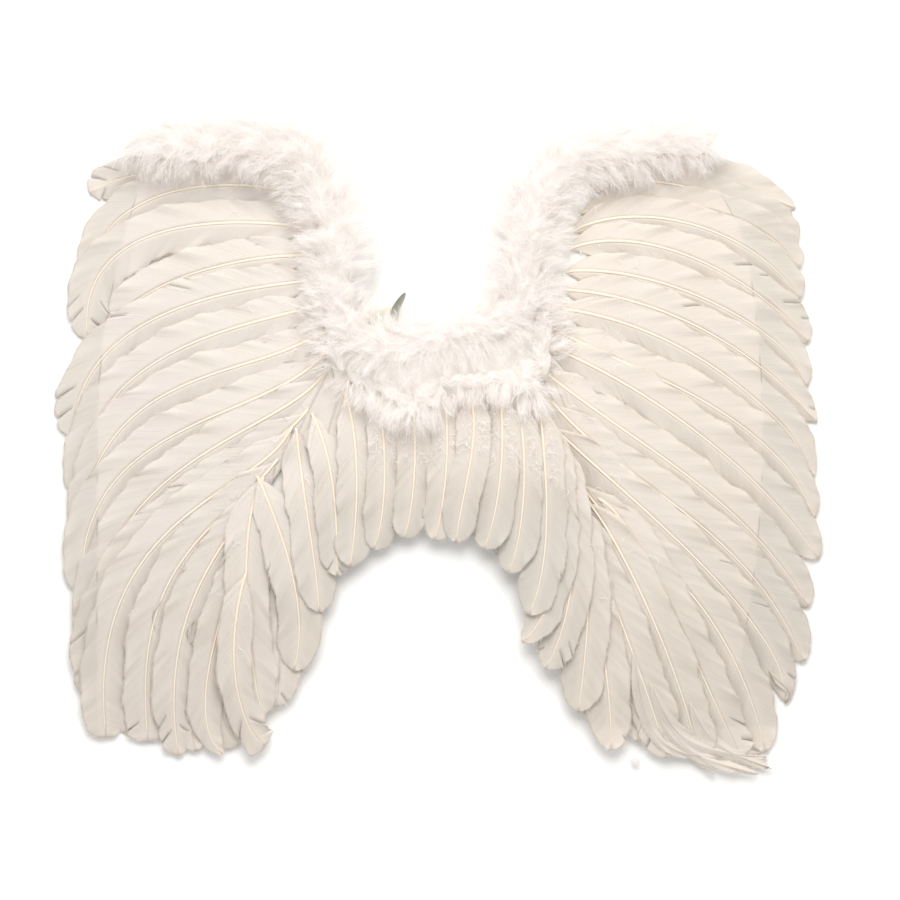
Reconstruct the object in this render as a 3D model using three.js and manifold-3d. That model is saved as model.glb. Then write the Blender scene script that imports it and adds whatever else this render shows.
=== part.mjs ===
import * as THREE from 'three';
import Module from 'manifold-3d';
import { mergeVertices } from 'three/addons/utils/BufferGeometryUtils.js';

// Costume angel wings that lie on their back, feathers up, in millimetres.
// X runs across the span, Y from the lower tips to the top, Z up from the floor.

// Overall sizes
const HALF_SPAN = 326;
const HEIGHT = 567;

// Backing card, bent down from its flat middle to the floor at both sides
const CARD_THICK = 2;
const CARD_LIFT = 12;
const CARD_FLAT = 0.26 * HALF_SPAN;
const CARD_REACH = 0.8 * HALF_SPAN;
const CARD_BENDS = 5;

// Feathers
const FEATHER_WIDTH = 39;
const VANE_THICK = 0.8;
const SHAFT_RISE = 0.6;
const QUILL_WIDTH = 5;

// Fluffy trim
const FLUFF_WIDTH = 46;
const FLUFF_RISE = 30;
const LOCK_LENGTH = 11;
const LOCK_THICK = 0.26;
const LOCK_SPACING = 21;
const ROW_WIDTH = 30;

// Elastic shoulder straps
const BAND_WIDTH = 25;
const BAND_THICK = 1.2;
const LOOP_RADIUS = 12;
const LOOP_TILT = 20;
const FOLD_RADIUS = (CARD_LIFT - 2 * BAND_THICK) / 2 + 0.3;

// Clearance between pieces that touch
const GAP = 0.32;

const COLOURS = {
  card: 0xf4f1ea,
  vane: 0xf3ece2,
  down: 0xfbf7f3,
  band: 0xe9e8d6,
};

const wasm = await Module();
wasm.setup();

// Places are shares: x of the half span from the middle line, y of the height from the lowest tip.
const place = ([x, y]) => new THREE.Vector2(x * HALF_SPAN, (y - 0.5) * HEIGHT);

// Outline of the card, anticlockwise from the upper right corner of the left wing
const CARD_OUTLINE = [
  [-0.755, 0.955], [-0.55, 0.965], [-0.395, 0.958], [-0.311, 0.925], [-0.268, 0.863], [-0.246, 0.788],
  [-0.234, 0.725], [-0.185, 0.678], [-0.085, 0.652], [0.006, 0.648], [0.102, 0.655], [0.165, 0.683],
  [0.18, 0.728], [0.176, 0.788], [0.207, 0.855], [0.285, 0.904], [0.432, 0.935], [0.665, 0.943],
  [0.763, 0.91], [0.8, 0.84], [0.814, 0.713], [0.827, 0.534], [0.822, 0.4], [0.795, 0.281],
  [0.745, 0.18], [0.639, 0.115], [0.51, 0.115], [0.42, 0.16], [0.375, 0.24], [0.325, 0.34],
  [0.239, 0.402], [0.123, 0.425], [-0.006, 0.433], [-0.135, 0.427], [-0.244, 0.402], [-0.325, 0.34],
  [-0.385, 0.245], [-0.45, 0.165], [-0.561, 0.118], [-0.735, 0.12], [-0.845, 0.17], [-0.884, 0.25],
  [-0.892, 0.385], [-0.892, 0.534], [-0.874, 0.676], [-0.83, 0.806], [-0.795, 0.893],
];

// Each feather's shaft leaves its root, passes a and b at about a third and two thirds of its length
// and ends at its tip. Its width is a share of the full feather width. Feathers are laid in this order.
const LEFT_FLIGHT = [
  { root: [-0.368, 0.91], a: [-0.535, 0.913], b: [-0.755, 0.904], tip: [-0.917, 0.873], width: 0.96 },
  { root: [-0.368, 0.869], a: [-0.533, 0.884], b: [-0.765, 0.861], tip: [-0.92, 0.758], width: 1 },
  { root: [-0.337, 0.821], a: [-0.543, 0.828], b: [-0.812, 0.794], tip: [-0.922, 0.655], width: 1.06 },
  { root: [-0.337, 0.779], a: [-0.523, 0.77], b: [-0.716, 0.737], tip: [-0.853, 0.681], width: 1.04 },
  { root: [-0.329, 0.743], a: [-0.535, 0.725], b: [-0.817, 0.661], tip: [-0.96, 0.507], width: 1.09 },
  { root: [-0.321, 0.706], a: [-0.535, 0.672], b: [-0.812, 0.591], tip: [-0.934, 0.415], width: 1.04 },
  { root: [-0.311, 0.669], a: [-0.543, 0.612], b: [-0.812, 0.534], tip: [-0.944, 0.33], width: 1.04 },
  { root: [-0.303, 0.636], a: [-0.535, 0.554], b: [-0.815, 0.464], tip: [-0.935, 0.274], width: 1.04 },
  { root: [-0.316, 0.597], a: [-0.523, 0.516], b: [-0.785, 0.403], tip: [-0.918, 0.19], width: 1.04 },
  { root: [-0.355, 0.546], a: [-0.554, 0.457], b: [-0.806, 0.33], tip: [-0.912, 0.116], width: 1.04 },
  { root: [-0.394, 0.519], a: [-0.569, 0.431], b: [-0.796, 0.307], tip: [-0.874, 0.06], width: 1.04 },
];
const LEFT_LOWER = [
  { root: [-0.432, 0.472], a: [-0.587, 0.382], b: [-0.729, 0.266], tip: [-0.765, 0.054], width: 1 },
  { root: [-0.466, 0.43], a: [-0.569, 0.348], b: [-0.672, 0.221], tip: [-0.685, 0.033], width: 0.96 },
  { root: [-0.497, 0.37], a: [-0.559, 0.266], b: [-0.613, 0.131], tip: [-0.569, 0.036], width: 0.87 },
  { root: [-0.466, 0.445], a: [-0.505, 0.342], b: [-0.499, 0.206], tip: [-0.466, 0.093], width: 1 },
  { root: [-0.51, 0.303], a: [-0.538, 0.206], b: [-0.525, 0.116], tip: [-0.466, 0.045], width: 0.78 },
  { root: [-0.476, 0.448], a: [-0.409, 0.348], b: [-0.373, 0.251], tip: [-0.386, 0.161], width: 0.96 },
  { root: [-0.378, 0.519], a: [-0.355, 0.415], b: [-0.332, 0.325], tip: [-0.319, 0.249], width: 0.87 },
  { root: [-0.337, 0.542], a: [-0.29, 0.46], b: [-0.275, 0.378], tip: [-0.272, 0.303], width: 0.83 },
  { root: [-0.252, 0.572], a: [-0.226, 0.497], b: [-0.223, 0.407], tip: [-0.239, 0.316], width: 0.83 },
];
const RIGHT_FLIGHT = [
  { root: [0.406, 0.91], a: [0.574, 0.913], b: [0.755, 0.888], tip: [0.917, 0.851], width: 0.91 },
  { root: [0.381, 0.875], a: [0.541, 0.89], b: [0.76, 0.858], tip: [0.92, 0.799], width: 0.87 },
  { root: [0.36, 0.842], a: [0.541, 0.858], b: [0.76, 0.834], tip: [0.925, 0.761], width: 0.87 },
  { root: [0.334, 0.815], a: [0.535, 0.836], b: [0.755, 0.801], tip: [0.928, 0.715], width: 0.91 },
  { root: [0.324, 0.788], a: [0.53, 0.796], b: [0.755, 0.745], tip: [0.951, 0.651], width: 0.96 },
  { root: [0.316, 0.755], a: [0.523, 0.745], b: [0.76, 0.691], tip: [0.964, 0.593], width: 1 },
  { root: [0.308, 0.728], a: [0.535, 0.703], b: [0.768, 0.637], tip: [0.972, 0.531], width: 1 },
  { root: [0.298, 0.701], a: [0.535, 0.664], b: [0.768, 0.585], tip: [0.982, 0.458], width: 1 },
  { root: [0.283, 0.672], a: [0.523, 0.606], b: [0.768, 0.528], tip: [0.985, 0.394], width: 1 },
  { root: [0.265, 0.646], a: [0.505, 0.576], b: [0.763, 0.466], tip: [0.977, 0.327], width: 1 },
  { root: [0.252, 0.612], a: [0.494, 0.509], b: [0.739, 0.401], tip: [0.951, 0.255], width: 1 },
  { root: [0.29, 0.557], a: [0.51, 0.446], b: [0.747, 0.336], tip: [0.938, 0.173], width: 1 },
  { root: [0.29, 0.522], a: [0.523, 0.4], b: [0.755, 0.266], tip: [0.915, 0.118], width: 1 },
];
const RIGHT_LOWER = [
  { root: [0.36, 0.44], a: [0.494, 0.357], b: [0.68, 0.248], tip: [0.84, 0.039], width: 1 },
  { root: [0.41, 0.415], a: [0.53, 0.322], b: [0.665, 0.164], tip: [0.773, 0.031], width: 1 },
  { root: [0.38, 0.41], a: [0.471, 0.325], b: [0.582, 0.184], tip: [0.665, 0.031], width: 1 },
  { root: [0.345, 0.405], a: [0.401, 0.322], b: [0.494, 0.184], tip: [0.582, 0.031], width: 1 },
  { root: [0.345, 0.375], a: [0.386, 0.281], b: [0.422, 0.164], tip: [0.437, 0.042], width: 0.96 },
  { root: [0.33, 0.418], a: [0.37, 0.325], b: [0.373, 0.221], tip: [0.352, 0.1], width: 0.96 },
  { root: [0.29, 0.504], a: [0.334, 0.37], b: [0.324, 0.258], tip: [0.267, 0.163], width: 0.91 },
  { root: [0.272, 0.534], a: [0.298, 0.43], b: [0.293, 0.318], tip: [0.228, 0.197], width: 0.87 },
];
const SKIRT = [
  { root: [-0.166, 0.564], a: [-0.151, 0.49], b: [-0.154, 0.407], tip: [-0.179, 0.342], width: 0.78 },
  { root: [0.252, 0.557], a: [0.265, 0.46], b: [0.265, 0.348], tip: [0.223, 0.245], width: 0.91 },
  { root: [-0.079, 0.564], a: [-0.071, 0.49], b: [-0.079, 0.415], tip: [-0.099, 0.358], width: 0.78 },
  { root: [0.19, 0.564], a: [0.21, 0.482], b: [0.203, 0.385], tip: [0.169, 0.307], width: 0.83 },
  { root: [0.001, 0.579], a: [0.012, 0.497], b: [0.001, 0.415], tip: [-0.022, 0.355], width: 0.78 },
  { root: [0.148, 0.576], a: [0.154, 0.497], b: [0.141, 0.415], tip: [0.107, 0.342], width: 0.83 },
  { root: [0.071, 0.579], a: [0.079, 0.504], b: [0.058, 0.43], tip: [0.035, 0.352], width: 0.78 },
];

// A feather's outline: full width as a share at each share of the length from root to tip
const VANE = [
  { at: 0, wide: 0 },
  { at: 0.07, wide: 0.12 },
  { at: 0.16, wide: 0.62 },
  { at: 0.3, wide: 0.92 },
  { at: 0.45, wide: 1 },
  { at: 0.6, wide: 1 },
  { at: 0.74, wide: 0.97 },
  { at: 0.86, wide: 0.88 },
  { at: 0.94, wide: 0.66 },
  { at: 1, wide: 0.2 },
];

// Middle lines of the fluffy trim, from each wing's outer end down to the middle line, and the second row
const TRIM_LEFT = [
  [-0.79, 0.94], [-0.677, 0.947], [-0.523, 0.945], [-0.4, 0.93], [-0.327, 0.885], [-0.298, 0.836],
  [-0.288, 0.781], [-0.265, 0.725], [-0.226, 0.661], [-0.115, 0.605], [0, 0.638],
];
const TRIM_RIGHT = [
  [0.7, 0.948], [0.561, 0.934], [0.406, 0.922], [0.305, 0.886], [0.243, 0.838], [0.213, 0.773],
  [0.21, 0.713], [0.175, 0.664], [0.097, 0.64], [0, 0.638],
];
const ROW_LEFT = [[-0.182, 0.592], [-0.084, 0.575], [0, 0.584]];
const ROW_RIGHT = [[0.24, 0.585], [0.123, 0.594], [0, 0.584]];

// Where each strap leaves the card, turns at its loop and meets the card again, as shares
const STRAPS = {
  left: { x: -0.124, leaves: 0.675, turns: 0.724, returns: 0.47, radius: LOOP_RADIUS, tilt: LOOP_TILT },
  right: { x: 0.15, leaves: 0.68, turns: 0.71, returns: 0.47, radius: FOLD_RADIUS, tilt: 0 },
};

// Underside of the card above the floor at a distance from the middle line
function cardUnderside(x) {
  const bendLength = (CARD_REACH - CARD_FLAT) / CARD_BENDS;
  const bends = THREE.MathUtils.clamp((Math.abs(x) - CARD_FLAT) / bendLength, 0, CARD_BENDS);
  const heightAt = (n) => CARD_LIFT * (1 - THREE.MathUtils.smoothstep(n, 0, CARD_BENDS));
  const before = Math.floor(bends);
  return THREE.MathUtils.lerp(heightAt(before), heightAt(before + 1), bends - before);
}

// The height that is already taken at each place, on a square grid
class Pile {
  constructor(cell) {
    this.cell = cell;
    this.halfX = HALF_SPAN * 1.1;
    this.halfY = HEIGHT * 0.55;
    this.columns = Math.ceil((2 * this.halfX) / cell);
    this.rows = Math.ceil((2 * this.halfY) / cell);
    this.heights = new Float64Array(this.columns * this.rows);
    for (let row = 0; row < this.rows; row += 1) {
      for (let column = 0; column < this.columns; column += 1) {
        const x = (column + 0.5) * cell - this.halfX;
        this.heights[row * this.columns + column] = cardUnderside(x) + CARD_THICK;
      }
    }
  }

  index(x, y, columnStep = 0, rowStep = 0) {
    const column = Math.floor((x + this.halfX) / this.cell) + columnStep;
    const row = Math.floor((y + this.halfY) / this.cell) + rowStep;
    return row * this.columns + column;
  }

  // Highest point in the cell at a place and in the cells round it
  top(x, y) {
    let highest = 0;
    for (const rowStep of [-1, 0, 1]) {
      for (const columnStep of [-1, 0, 1]) {
        highest = Math.max(highest, this.heights[this.index(x, y, columnStep, rowStep)]);
      }
    }
    return highest;
  }

  raise(x, y, z) {
    const i = this.index(x, y);
    this.heights[i] = Math.max(this.heights[i], z);
  }
}

const PILE_CELL = 2;
const pile = new Pile(PILE_CELL);

// Merges equal corners and returns a closed solid that can be joined and cut
function solidOf(geometry) {
  const bare = geometry.index ? geometry.clone() : geometry;
  bare.deleteAttribute('normal');
  bare.deleteAttribute('uv');
  const merged = mergeVertices(bare, 1e-4);
  return new wasm.Manifold(new wasm.Mesh({
    numProp: 3,
    vertProperties: new Float32Array(merged.attributes.position.array),
    triVerts: new Uint32Array(merged.index.array),
  }));
}

function geometryOf(solid) {
  const { vertProperties, triVerts, numProp } = solid.getMesh();
  const geometry = new THREE.BufferGeometry();
  const positions = new Float32Array((vertProperties.length / numProp) * 3);
  for (let i = 0; i < positions.length / 3; i += 1) {
    for (let axis = 0; axis < 3; axis += 1) positions[3 * i + axis] = vertProperties[numProp * i + axis];
  }
  geometry.setAttribute('position', new THREE.BufferAttribute(positions, 3));
  geometry.setIndex(new THREE.BufferAttribute(new Uint32Array(triVerts), 1));
  geometry.computeVertexNormals();
  return geometry;
}

// Six times the volume that the faces enclose, negative where they point inwards
function enclosed(corners, faces) {
  let sum = 0;
  for (let i = 0; i < faces.length; i += 3) {
    const [one, two, three] = faces.slice(i, i + 3).map((n) => corners[n]);
    sum += one.dot(two.clone().cross(three));
  }
  return sum;
}

// Closed body lofted through rings of points; every ring has as many points
function loft(rings) {
  const corners = rings.flat();
  const positions = corners.flatMap((point) => [point.x, point.y, point.z]);
  const size = rings[0].length;
  const faces = [];
  for (let ring = 0; ring + 1 < rings.length; ring += 1) {
    for (let i = 0; i < size; i += 1) {
      const here = ring * size + i;
      const next = ring * size + ((i + 1) % size);
      faces.push(here, next, next + size, here, next + size, here + size);
    }
  }
  const last = (rings.length - 1) * size;
  for (let i = 1; i + 1 < size; i += 1) {
    faces.push(0, i + 1, i);
    faces.push(last, last + i, last + i + 1);
  }
  if (enclosed(corners, faces) < 0) faces.reverse();
  const geometry = new THREE.BufferGeometry();
  geometry.setAttribute('position', new THREE.Float32BufferAttribute(positions, 3));
  geometry.setIndex(faces);
  geometry.computeVertexNormals();
  return geometry;
}

// The card: a bent sheet cut to the outline
function cardGeometry() {
  const edge = HALF_SPAN * 1.05;
  const bendLength = (CARD_REACH - CARD_FLAT) / CARD_BENDS;
  const bendsAt = Array.from({ length: CARD_BENDS + 1 }, (_, n) => CARD_FLAT + n * bendLength);
  const across = [-edge, ...bendsAt.map((x) => -x).reverse(), ...bendsAt, edge];
  const section = new THREE.Shape([
    ...across.map((x) => new THREE.Vector2(x, cardUnderside(x))),
    ...across.slice().reverse().map((x) => new THREE.Vector2(x, cardUnderside(x) + CARD_THICK)),
  ]);
  const sheet = new THREE.ExtrudeGeometry(section, { depth: HEIGHT, bevelEnabled: false });
  sheet.rotateX(Math.PI / 2);
  sheet.translate(0, HEIGHT / 2, 0);
  const corners = CARD_OUTLINE.map(place);
  const outline = new THREE.Shape();
  outline.moveTo(corners[0].x, corners[0].y);
  outline.splineThru([...corners.slice(1), corners[0]]);
  const smooth = new THREE.Shape(outline.getSpacedPoints(CARD_OUTLINE.length * 2).slice(0, -1));
  const prism = new THREE.ExtrudeGeometry(smooth, { depth: 3 * CARD_LIFT, bevelEnabled: false });
  prism.translate(0, 0, -CARD_LIFT);
  return geometryOf(solidOf(sheet).intersect(solidOf(prism)));
}

// A smooth line through four places at a third of the way each
function shaftLine({ root, a, b, tip }) {
  const [start, first, second, end] = [root, a, b, tip].map(place);
  const handle = (near, close, apart, far) => new THREE.Vector2()
    .addScaledVector(near, -5 / 6)
    .addScaledVector(close, 3)
    .addScaledVector(apart, -1.5)
    .addScaledVector(far, 1 / 3);
  return new THREE.CubicBezierCurve(
    start, handle(start, first, second, end), handle(end, second, first, start), end,
  );
}

// How far above or below its middle a feather's edge may lie, and where across it is pressed down
const MOST_LEAN = 3;
const LEAN_STEPS = 12;
const PRESS = 0.4;
const SPOTS_ACROSS = 13;

// A section lies on the highest spots under it, at the lean that brings its pressed side lowest
const levelAt = (spots, slope) => Math.max(...spots.map(({ across, z }) => z - slope * across));

function leanOn(spots) {
  let best = { pressed: Infinity, slope: 0 };
  for (let step = -LEAN_STEPS; step <= LEAN_STEPS; step += 1) {
    const slope = (step / LEAN_STEPS) * MOST_LEAN;
    const pressed = levelAt(spots, slope) - slope * PRESS;
    if (pressed < best.pressed) best = { pressed, slope };
  }
  return best.slope;
}

// A feather: a flat vane with a raised shaft, laid on the pile
function featherGeometry(row, wing) {
  const line = shaftLine(row);
  const stations = VANE.map(({ at, wide }) => {
    const middle = line.getPointAt(at);
    const along = line.getTangentAt(at);
    const side = new THREE.Vector2(-along.y, along.x).multiplyScalar(wing);
    return { middle, side, half: Math.max(QUILL_WIDTH, FEATHER_WIDTH * row.width * wide) / 2 };
  });
  const placeAt = (from, share, across) => {
    const [one, two] = [stations[from], stations[from + 1]];
    const spread = (station) => station.middle.clone().addScaledVector(station.side, across * station.half);
    return spread(one).lerp(spread(two), share);
  };
  // The highest spots between the stations before and after, by share of the half width
  const spotsAt = (n) => Array.from({ length: SPOTS_ACROSS }, (_, k) => {
    const across = (2 * k) / (SPOTS_ACROSS - 1) - 1;
    let z = 0;
    for (let from = Math.max(0, n - 1); from <= Math.min(n, stations.length - 2); from += 1) {
      for (let step = 0; step <= 16; step += 1) {
        const spot = placeAt(from, step / 16, across);
        z = Math.max(z, pile.top(spot.x, spot.y));
      }
    }
    return { across, z };
  });
  const spots = stations.map((_, n) => spotsAt(n));
  const leans = spots.map(leanOn);
  const rests = spots.map((under, n) => {
    const before = leans[Math.max(0, n - 1)];
    const after = leans[Math.min(n + 1, leans.length - 1)];
    const slope = (before + 2 * leans[n] + after) / 4;
    return { slope, level: levelAt(under, slope) };
  });
  const under = (n, across) => rests[n].level + rests[n].slope * across + GAP;
  const corner = (n, across, rise) => {
    const { middle, side, half } = stations[n];
    const spot = middle.clone().addScaledVector(side, across * half);
    return new THREE.Vector3(spot.x, spot.y, under(n, across) + rise);
  };
  const rings = stations.map((_, n) => [
    corner(n, -1, 0), corner(n, 1, 0), corner(n, 1, VANE_THICK), corner(n, 0, VANE_THICK + SHAFT_RISE),
    corner(n, -1, VANE_THICK),
  ]);
  // The laid feather is part of the pile for the next
  for (let from = 0; from + 1 < stations.length; from += 1) {
    const steps = Math.ceil(placeAt(from, 0, 0).distanceTo(placeAt(from, 1, 0)));
    for (let step = 0; step <= steps; step += 1) {
      for (let k = 0; k <= 40; k += 1) {
        const across = k / 20 - 1;
        const spot = placeAt(from, step / steps, across);
        const level = THREE.MathUtils.lerp(under(from, across), under(from + 1, across), step / steps);
        pile.raise(spot.x, spot.y, level + VANE_THICK + SHAFT_RISE * (1 - Math.abs(across)));
      }
    }
  }
  return loft(rings);
}

// A seeded draw for the locks' lengths and turns
function drawFrom(seed) {
  let state = seed;
  return () => {
    state = (state * 16807) % 2147483647;
    return state / 2147483647;
  };
}

// The fluffy trim's body: a flat-bottomed roll along a line, with its locks
function fluffSolid(points, width, rise, seed) {
  const draw = drawFrom(seed);
  const line = new THREE.CatmullRomCurve3(points.map((point) => {
    const spot = place(point);
    return new THREE.Vector3(spot.x, spot.y, 0);
  }), false, 'catmullrom', 0.5);
  const length = line.getLength();
  const steps = Math.ceil(length / LOCK_SPACING);
  const stations = Array.from({ length: steps + 1 }, (_, n) => {
    const middle = line.getPointAt(n / steps);
    const along = line.getTangentAt(n / steps);
    const side = new THREE.Vector3(-along.y, along.x, 0);
    const half = (width / 2) * (n === 0 ? 0.7 : 1);
    return { middle, along, side, half, high: rise * (n === 0 ? 0.7 : 1) };
  });
  const highest = (from, to) => {
    let z = 0;
    for (let step = 0; step <= 16; step += 1) {
      const middle = from.middle.clone().lerp(to.middle, step / 16);
      const side = from.side.clone().lerp(to.side, step / 16);
      for (const across of [-1.1, -0.8, -0.5, -0.2, 0, 0.2, 0.5, 0.8, 1.1]) {
        const spot = middle.clone().addScaledVector(side, across * from.half);
        z = Math.max(z, pile.top(spot.x, spot.y));
      }
    }
    return z;
  };
  stations.forEach((station, n) => {
    const before = stations[Math.max(0, n - 1)];
    const after = stations[Math.min(steps, n + 1)];
    station.floor = Math.max(highest(station, before), highest(station, after)) + GAP;
  });
  const section = [[-1, 0], [1, 0], [1.05, 0.35], [0.62, 0.86], [0, 1], [-0.62, 0.86], [-1.05, 0.35]];
  const rings = stations.map(({ middle, side, half, floor, high }) => section.map(([across, up]) => {
    const corner = middle.clone().addScaledVector(side, across * half);
    corner.z = floor + up * high;
    return corner;
  }));
  const parts = [solidOf(loft(rings))];
  const loop = place([STRAPS.left.x, STRAPS.left.turns]);
  stations.forEach(({ middle, side, along, half, floor, high }, n) => {
    for (const across of [-1, -0.4, 0.4, 1]) {
      const lean = (draw() - 0.5) * 0.9;
      const reach = LOCK_LENGTH * (0.75 + 0.5 * draw());
      const low = Math.abs(across) === 1;
      const start = middle.clone().addScaledVector(side, across * half * 0.7);
      start.z = floor + high * (low ? 0.42 : 0.72);
      const way = side.clone().multiplyScalar(low ? across : across * 0.8);
      way.addScaledVector(along, n === 0 ? -0.6 : lean);
      const end = start.clone().addScaledVector(way.normalize(), (low ? half * 0.35 : 0) + reach);
      end.z = low ? Math.max(pile.top(end.x, end.y), floor - GAP) + 4 : floor + high + reach * 0.45;
      const onLoop = Math.abs(end.x - loop.x) < BAND_WIDTH && Math.abs(end.y - loop.y) < 2 * LOOP_RADIUS;
      if (!onLoop) parts.push(lockSolid(start, end, high * LOCK_THICK));
    }
  });
  return wasm.Manifold.union(parts);
}

// One lock of down: a pointed body from inside the roll
function lockSolid(start, end, radius) {
  const length = start.distanceTo(end);
  const cone = new THREE.ConeGeometry(radius, length * 1.25, 4);
  cone.translate(0, length * 0.375, 0);
  const turn = new THREE.Quaternion().setFromUnitVectors(
    new THREE.Vector3(0, 1, 0), end.clone().sub(start).normalize(),
  );
  cone.applyQuaternion(turn);
  cone.translate(start.x, start.y, start.z);
  return solidOf(cone);
}

// Both rows of the trim on one side of the middle line
function trimGeometry(edge, row, side) {
  const roll = fluffSolid(edge, FLUFF_WIDTH, FLUFF_RISE, side > 0 ? 71 : 37);
  const second = fluffSolid(row, ROW_WIDTH, FLUFF_RISE * 0.75, side > 0 ? 113 : 59);
  const reach = 2 * HALF_SPAN;
  const half = new THREE.BoxGeometry(reach, 2 * HEIGHT, 20 * FLUFF_RISE);
  half.translate(side * (reach / 2 + GAP / 2), 0, 0);
  return geometryOf(roll.add(second).intersect(solidOf(half)));
}

// An elastic band that leaves the card, turns in a loop and comes back along the floor to the card
function strapGeometry({ x, leaves, turns, returns, radius, tilt }) {
  const middleX = x * HALF_SPAN;
  const [start, top, end] = [leaves, turns, returns].map((y) => place([0, y]).y);
  const high = CARD_LIFT - GAP - BAND_THICK / 2;
  const low = BAND_THICK / 2;
  const centre = top - radius;
  const steps = (count, make) => Array.from({ length: count + 1 }, (_, n) => make(n / count));
  const ramp = (fromY, fromZ, toY, toZ) => steps(5, (share) => ({
    y: THREE.MathUtils.lerp(fromY, toY, share),
    z: THREE.MathUtils.lerp(fromZ, toZ, THREE.MathUtils.smoothstep(share, 0, 1)),
    heading: Math.atan2(6 * share * (1 - share) * (toZ - fromZ), toY - fromY),
  }));
  const route = [
    { y: start - 36, z: high, heading: 0 },
    ...ramp(start, high, centre, low + 2 * radius),
    ...steps(12, (share) => ({
      y: centre + radius * Math.sin(Math.PI * share),
      z: low + radius + radius * Math.cos(Math.PI * share),
      heading: -Math.PI * share,
    })).slice(1),
    { y: centre - 2 * radius, z: low, heading: -Math.PI },
    ...ramp(end + 48, low, end + 12, high),
    { y: end - 12, z: high, heading: Math.PI },
  ];
  const rings = route.map(({ y, z, heading }) => {
    const near = THREE.MathUtils.smoothstep(y, centre - radius, centre + radius / 2);
    const turn = THREE.MathUtils.degToRad(tilt) * near;
    const across = new THREE.Vector3(Math.cos(turn), 0, Math.sin(turn));
    const along = new THREE.Vector3(0, Math.cos(heading), Math.sin(heading));
    const normal = across.clone().cross(along).normalize();
    const middle = new THREE.Vector3(middleX, y, z + (BAND_WIDTH / 2) * Math.sin(turn));
    return [[-1, 1], [1, 1], [1, -1], [-1, -1]].map(([wide, thick]) => middle.clone()
      .addScaledVector(across, (wide * BAND_WIDTH) / 2)
      .addScaledVector(normal, (thick * BAND_THICK) / 2));
  });
  return loft(rings);
}

const materials = {
  card: new THREE.MeshStandardMaterial({ color: COLOURS.card, roughness: 0.85, metalness: 0 }),
  vane: new THREE.MeshStandardMaterial({ color: COLOURS.vane, roughness: 0.7, metalness: 0 }),
  down: new THREE.MeshStandardMaterial({ color: COLOURS.down, roughness: 0.95, metalness: 0 }),
  band: new THREE.MeshStandardMaterial({ color: COLOURS.band, roughness: 0.9, metalness: 0 }),
};

const wings = new THREE.Group();

function add(name, geometry, material) {
  const mesh = new THREE.Mesh(geometry, material);
  mesh.name = name;
  wings.add(mesh);
}

add('backing_card', cardGeometry(), materials.card);
for (const side of ['left', 'right']) {
  add(`shoulder_strap_${side}`, strapGeometry(STRAPS[side]), materials.band);
}
const rowsInOrder = [
  ['left_flight', LEFT_FLIGHT], ['right_flight', RIGHT_FLIGHT], ['left_lower', LEFT_LOWER],
  ['right_lower', RIGHT_LOWER], ['skirt', SKIRT],
];
for (const [name, rows] of rowsInOrder) {
  rows.forEach((row, n) => {
    const wing = row.root[0] < 0 ? -1 : 1;
    add(`${name}_${String(n + 1).padStart(2, '0')}`, featherGeometry(row, wing), materials.vane);
  });
}
add('marabou_left', trimGeometry(TRIM_LEFT, ROW_LEFT, -1), materials.down);
add('marabou_right', trimGeometry(TRIM_RIGHT, ROW_RIGHT, 1), materials.down);

// The origin is under the middle of the whole
const whole = new THREE.Box3().setFromObject(wings);
const middle = whole.getCenter(new THREE.Vector3());
wings.children.forEach((mesh) => mesh.geometry.translate(-middle.x, -middle.y, -whole.min.z));

export default wings;
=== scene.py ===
"""Costume angel wings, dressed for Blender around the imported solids.

The wings lie on their back on a pale floor: long feathers on a bent card, down trim along the top edge
and round the neck notch, and elastic shoulder straps behind. Lengths are in metres.
"""

from __future__ import annotations

import logging
import math
from collections.abc import Sequence
from dataclasses import dataclass, field
from enum import Enum

import bpy
import numpy as np
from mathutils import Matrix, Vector
from mathutils.bvhtree import BVHTree

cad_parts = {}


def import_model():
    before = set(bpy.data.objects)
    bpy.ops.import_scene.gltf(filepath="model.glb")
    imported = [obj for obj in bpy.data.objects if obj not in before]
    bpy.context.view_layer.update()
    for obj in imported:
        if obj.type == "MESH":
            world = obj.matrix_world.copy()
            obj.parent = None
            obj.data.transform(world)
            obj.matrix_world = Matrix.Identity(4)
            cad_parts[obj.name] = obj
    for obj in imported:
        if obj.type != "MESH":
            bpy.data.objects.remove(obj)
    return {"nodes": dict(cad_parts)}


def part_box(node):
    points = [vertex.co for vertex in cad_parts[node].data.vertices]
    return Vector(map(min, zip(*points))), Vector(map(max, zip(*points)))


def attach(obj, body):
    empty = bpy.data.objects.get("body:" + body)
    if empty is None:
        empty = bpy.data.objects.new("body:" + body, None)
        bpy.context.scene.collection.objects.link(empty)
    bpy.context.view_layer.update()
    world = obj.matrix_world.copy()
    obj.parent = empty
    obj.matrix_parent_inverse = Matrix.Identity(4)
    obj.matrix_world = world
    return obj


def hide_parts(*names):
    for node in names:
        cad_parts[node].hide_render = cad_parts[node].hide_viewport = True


LOG = logging.getLogger("wings")

BODY = "root"
HALF_SPAN = 0.326
HEIGHT = 0.567
FEATHER_WIDTH = 0.039
QUILL_WIDTH = 0.005

Share = tuple[float, float]
Colour = tuple[float, float, float]


# Layout


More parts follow.
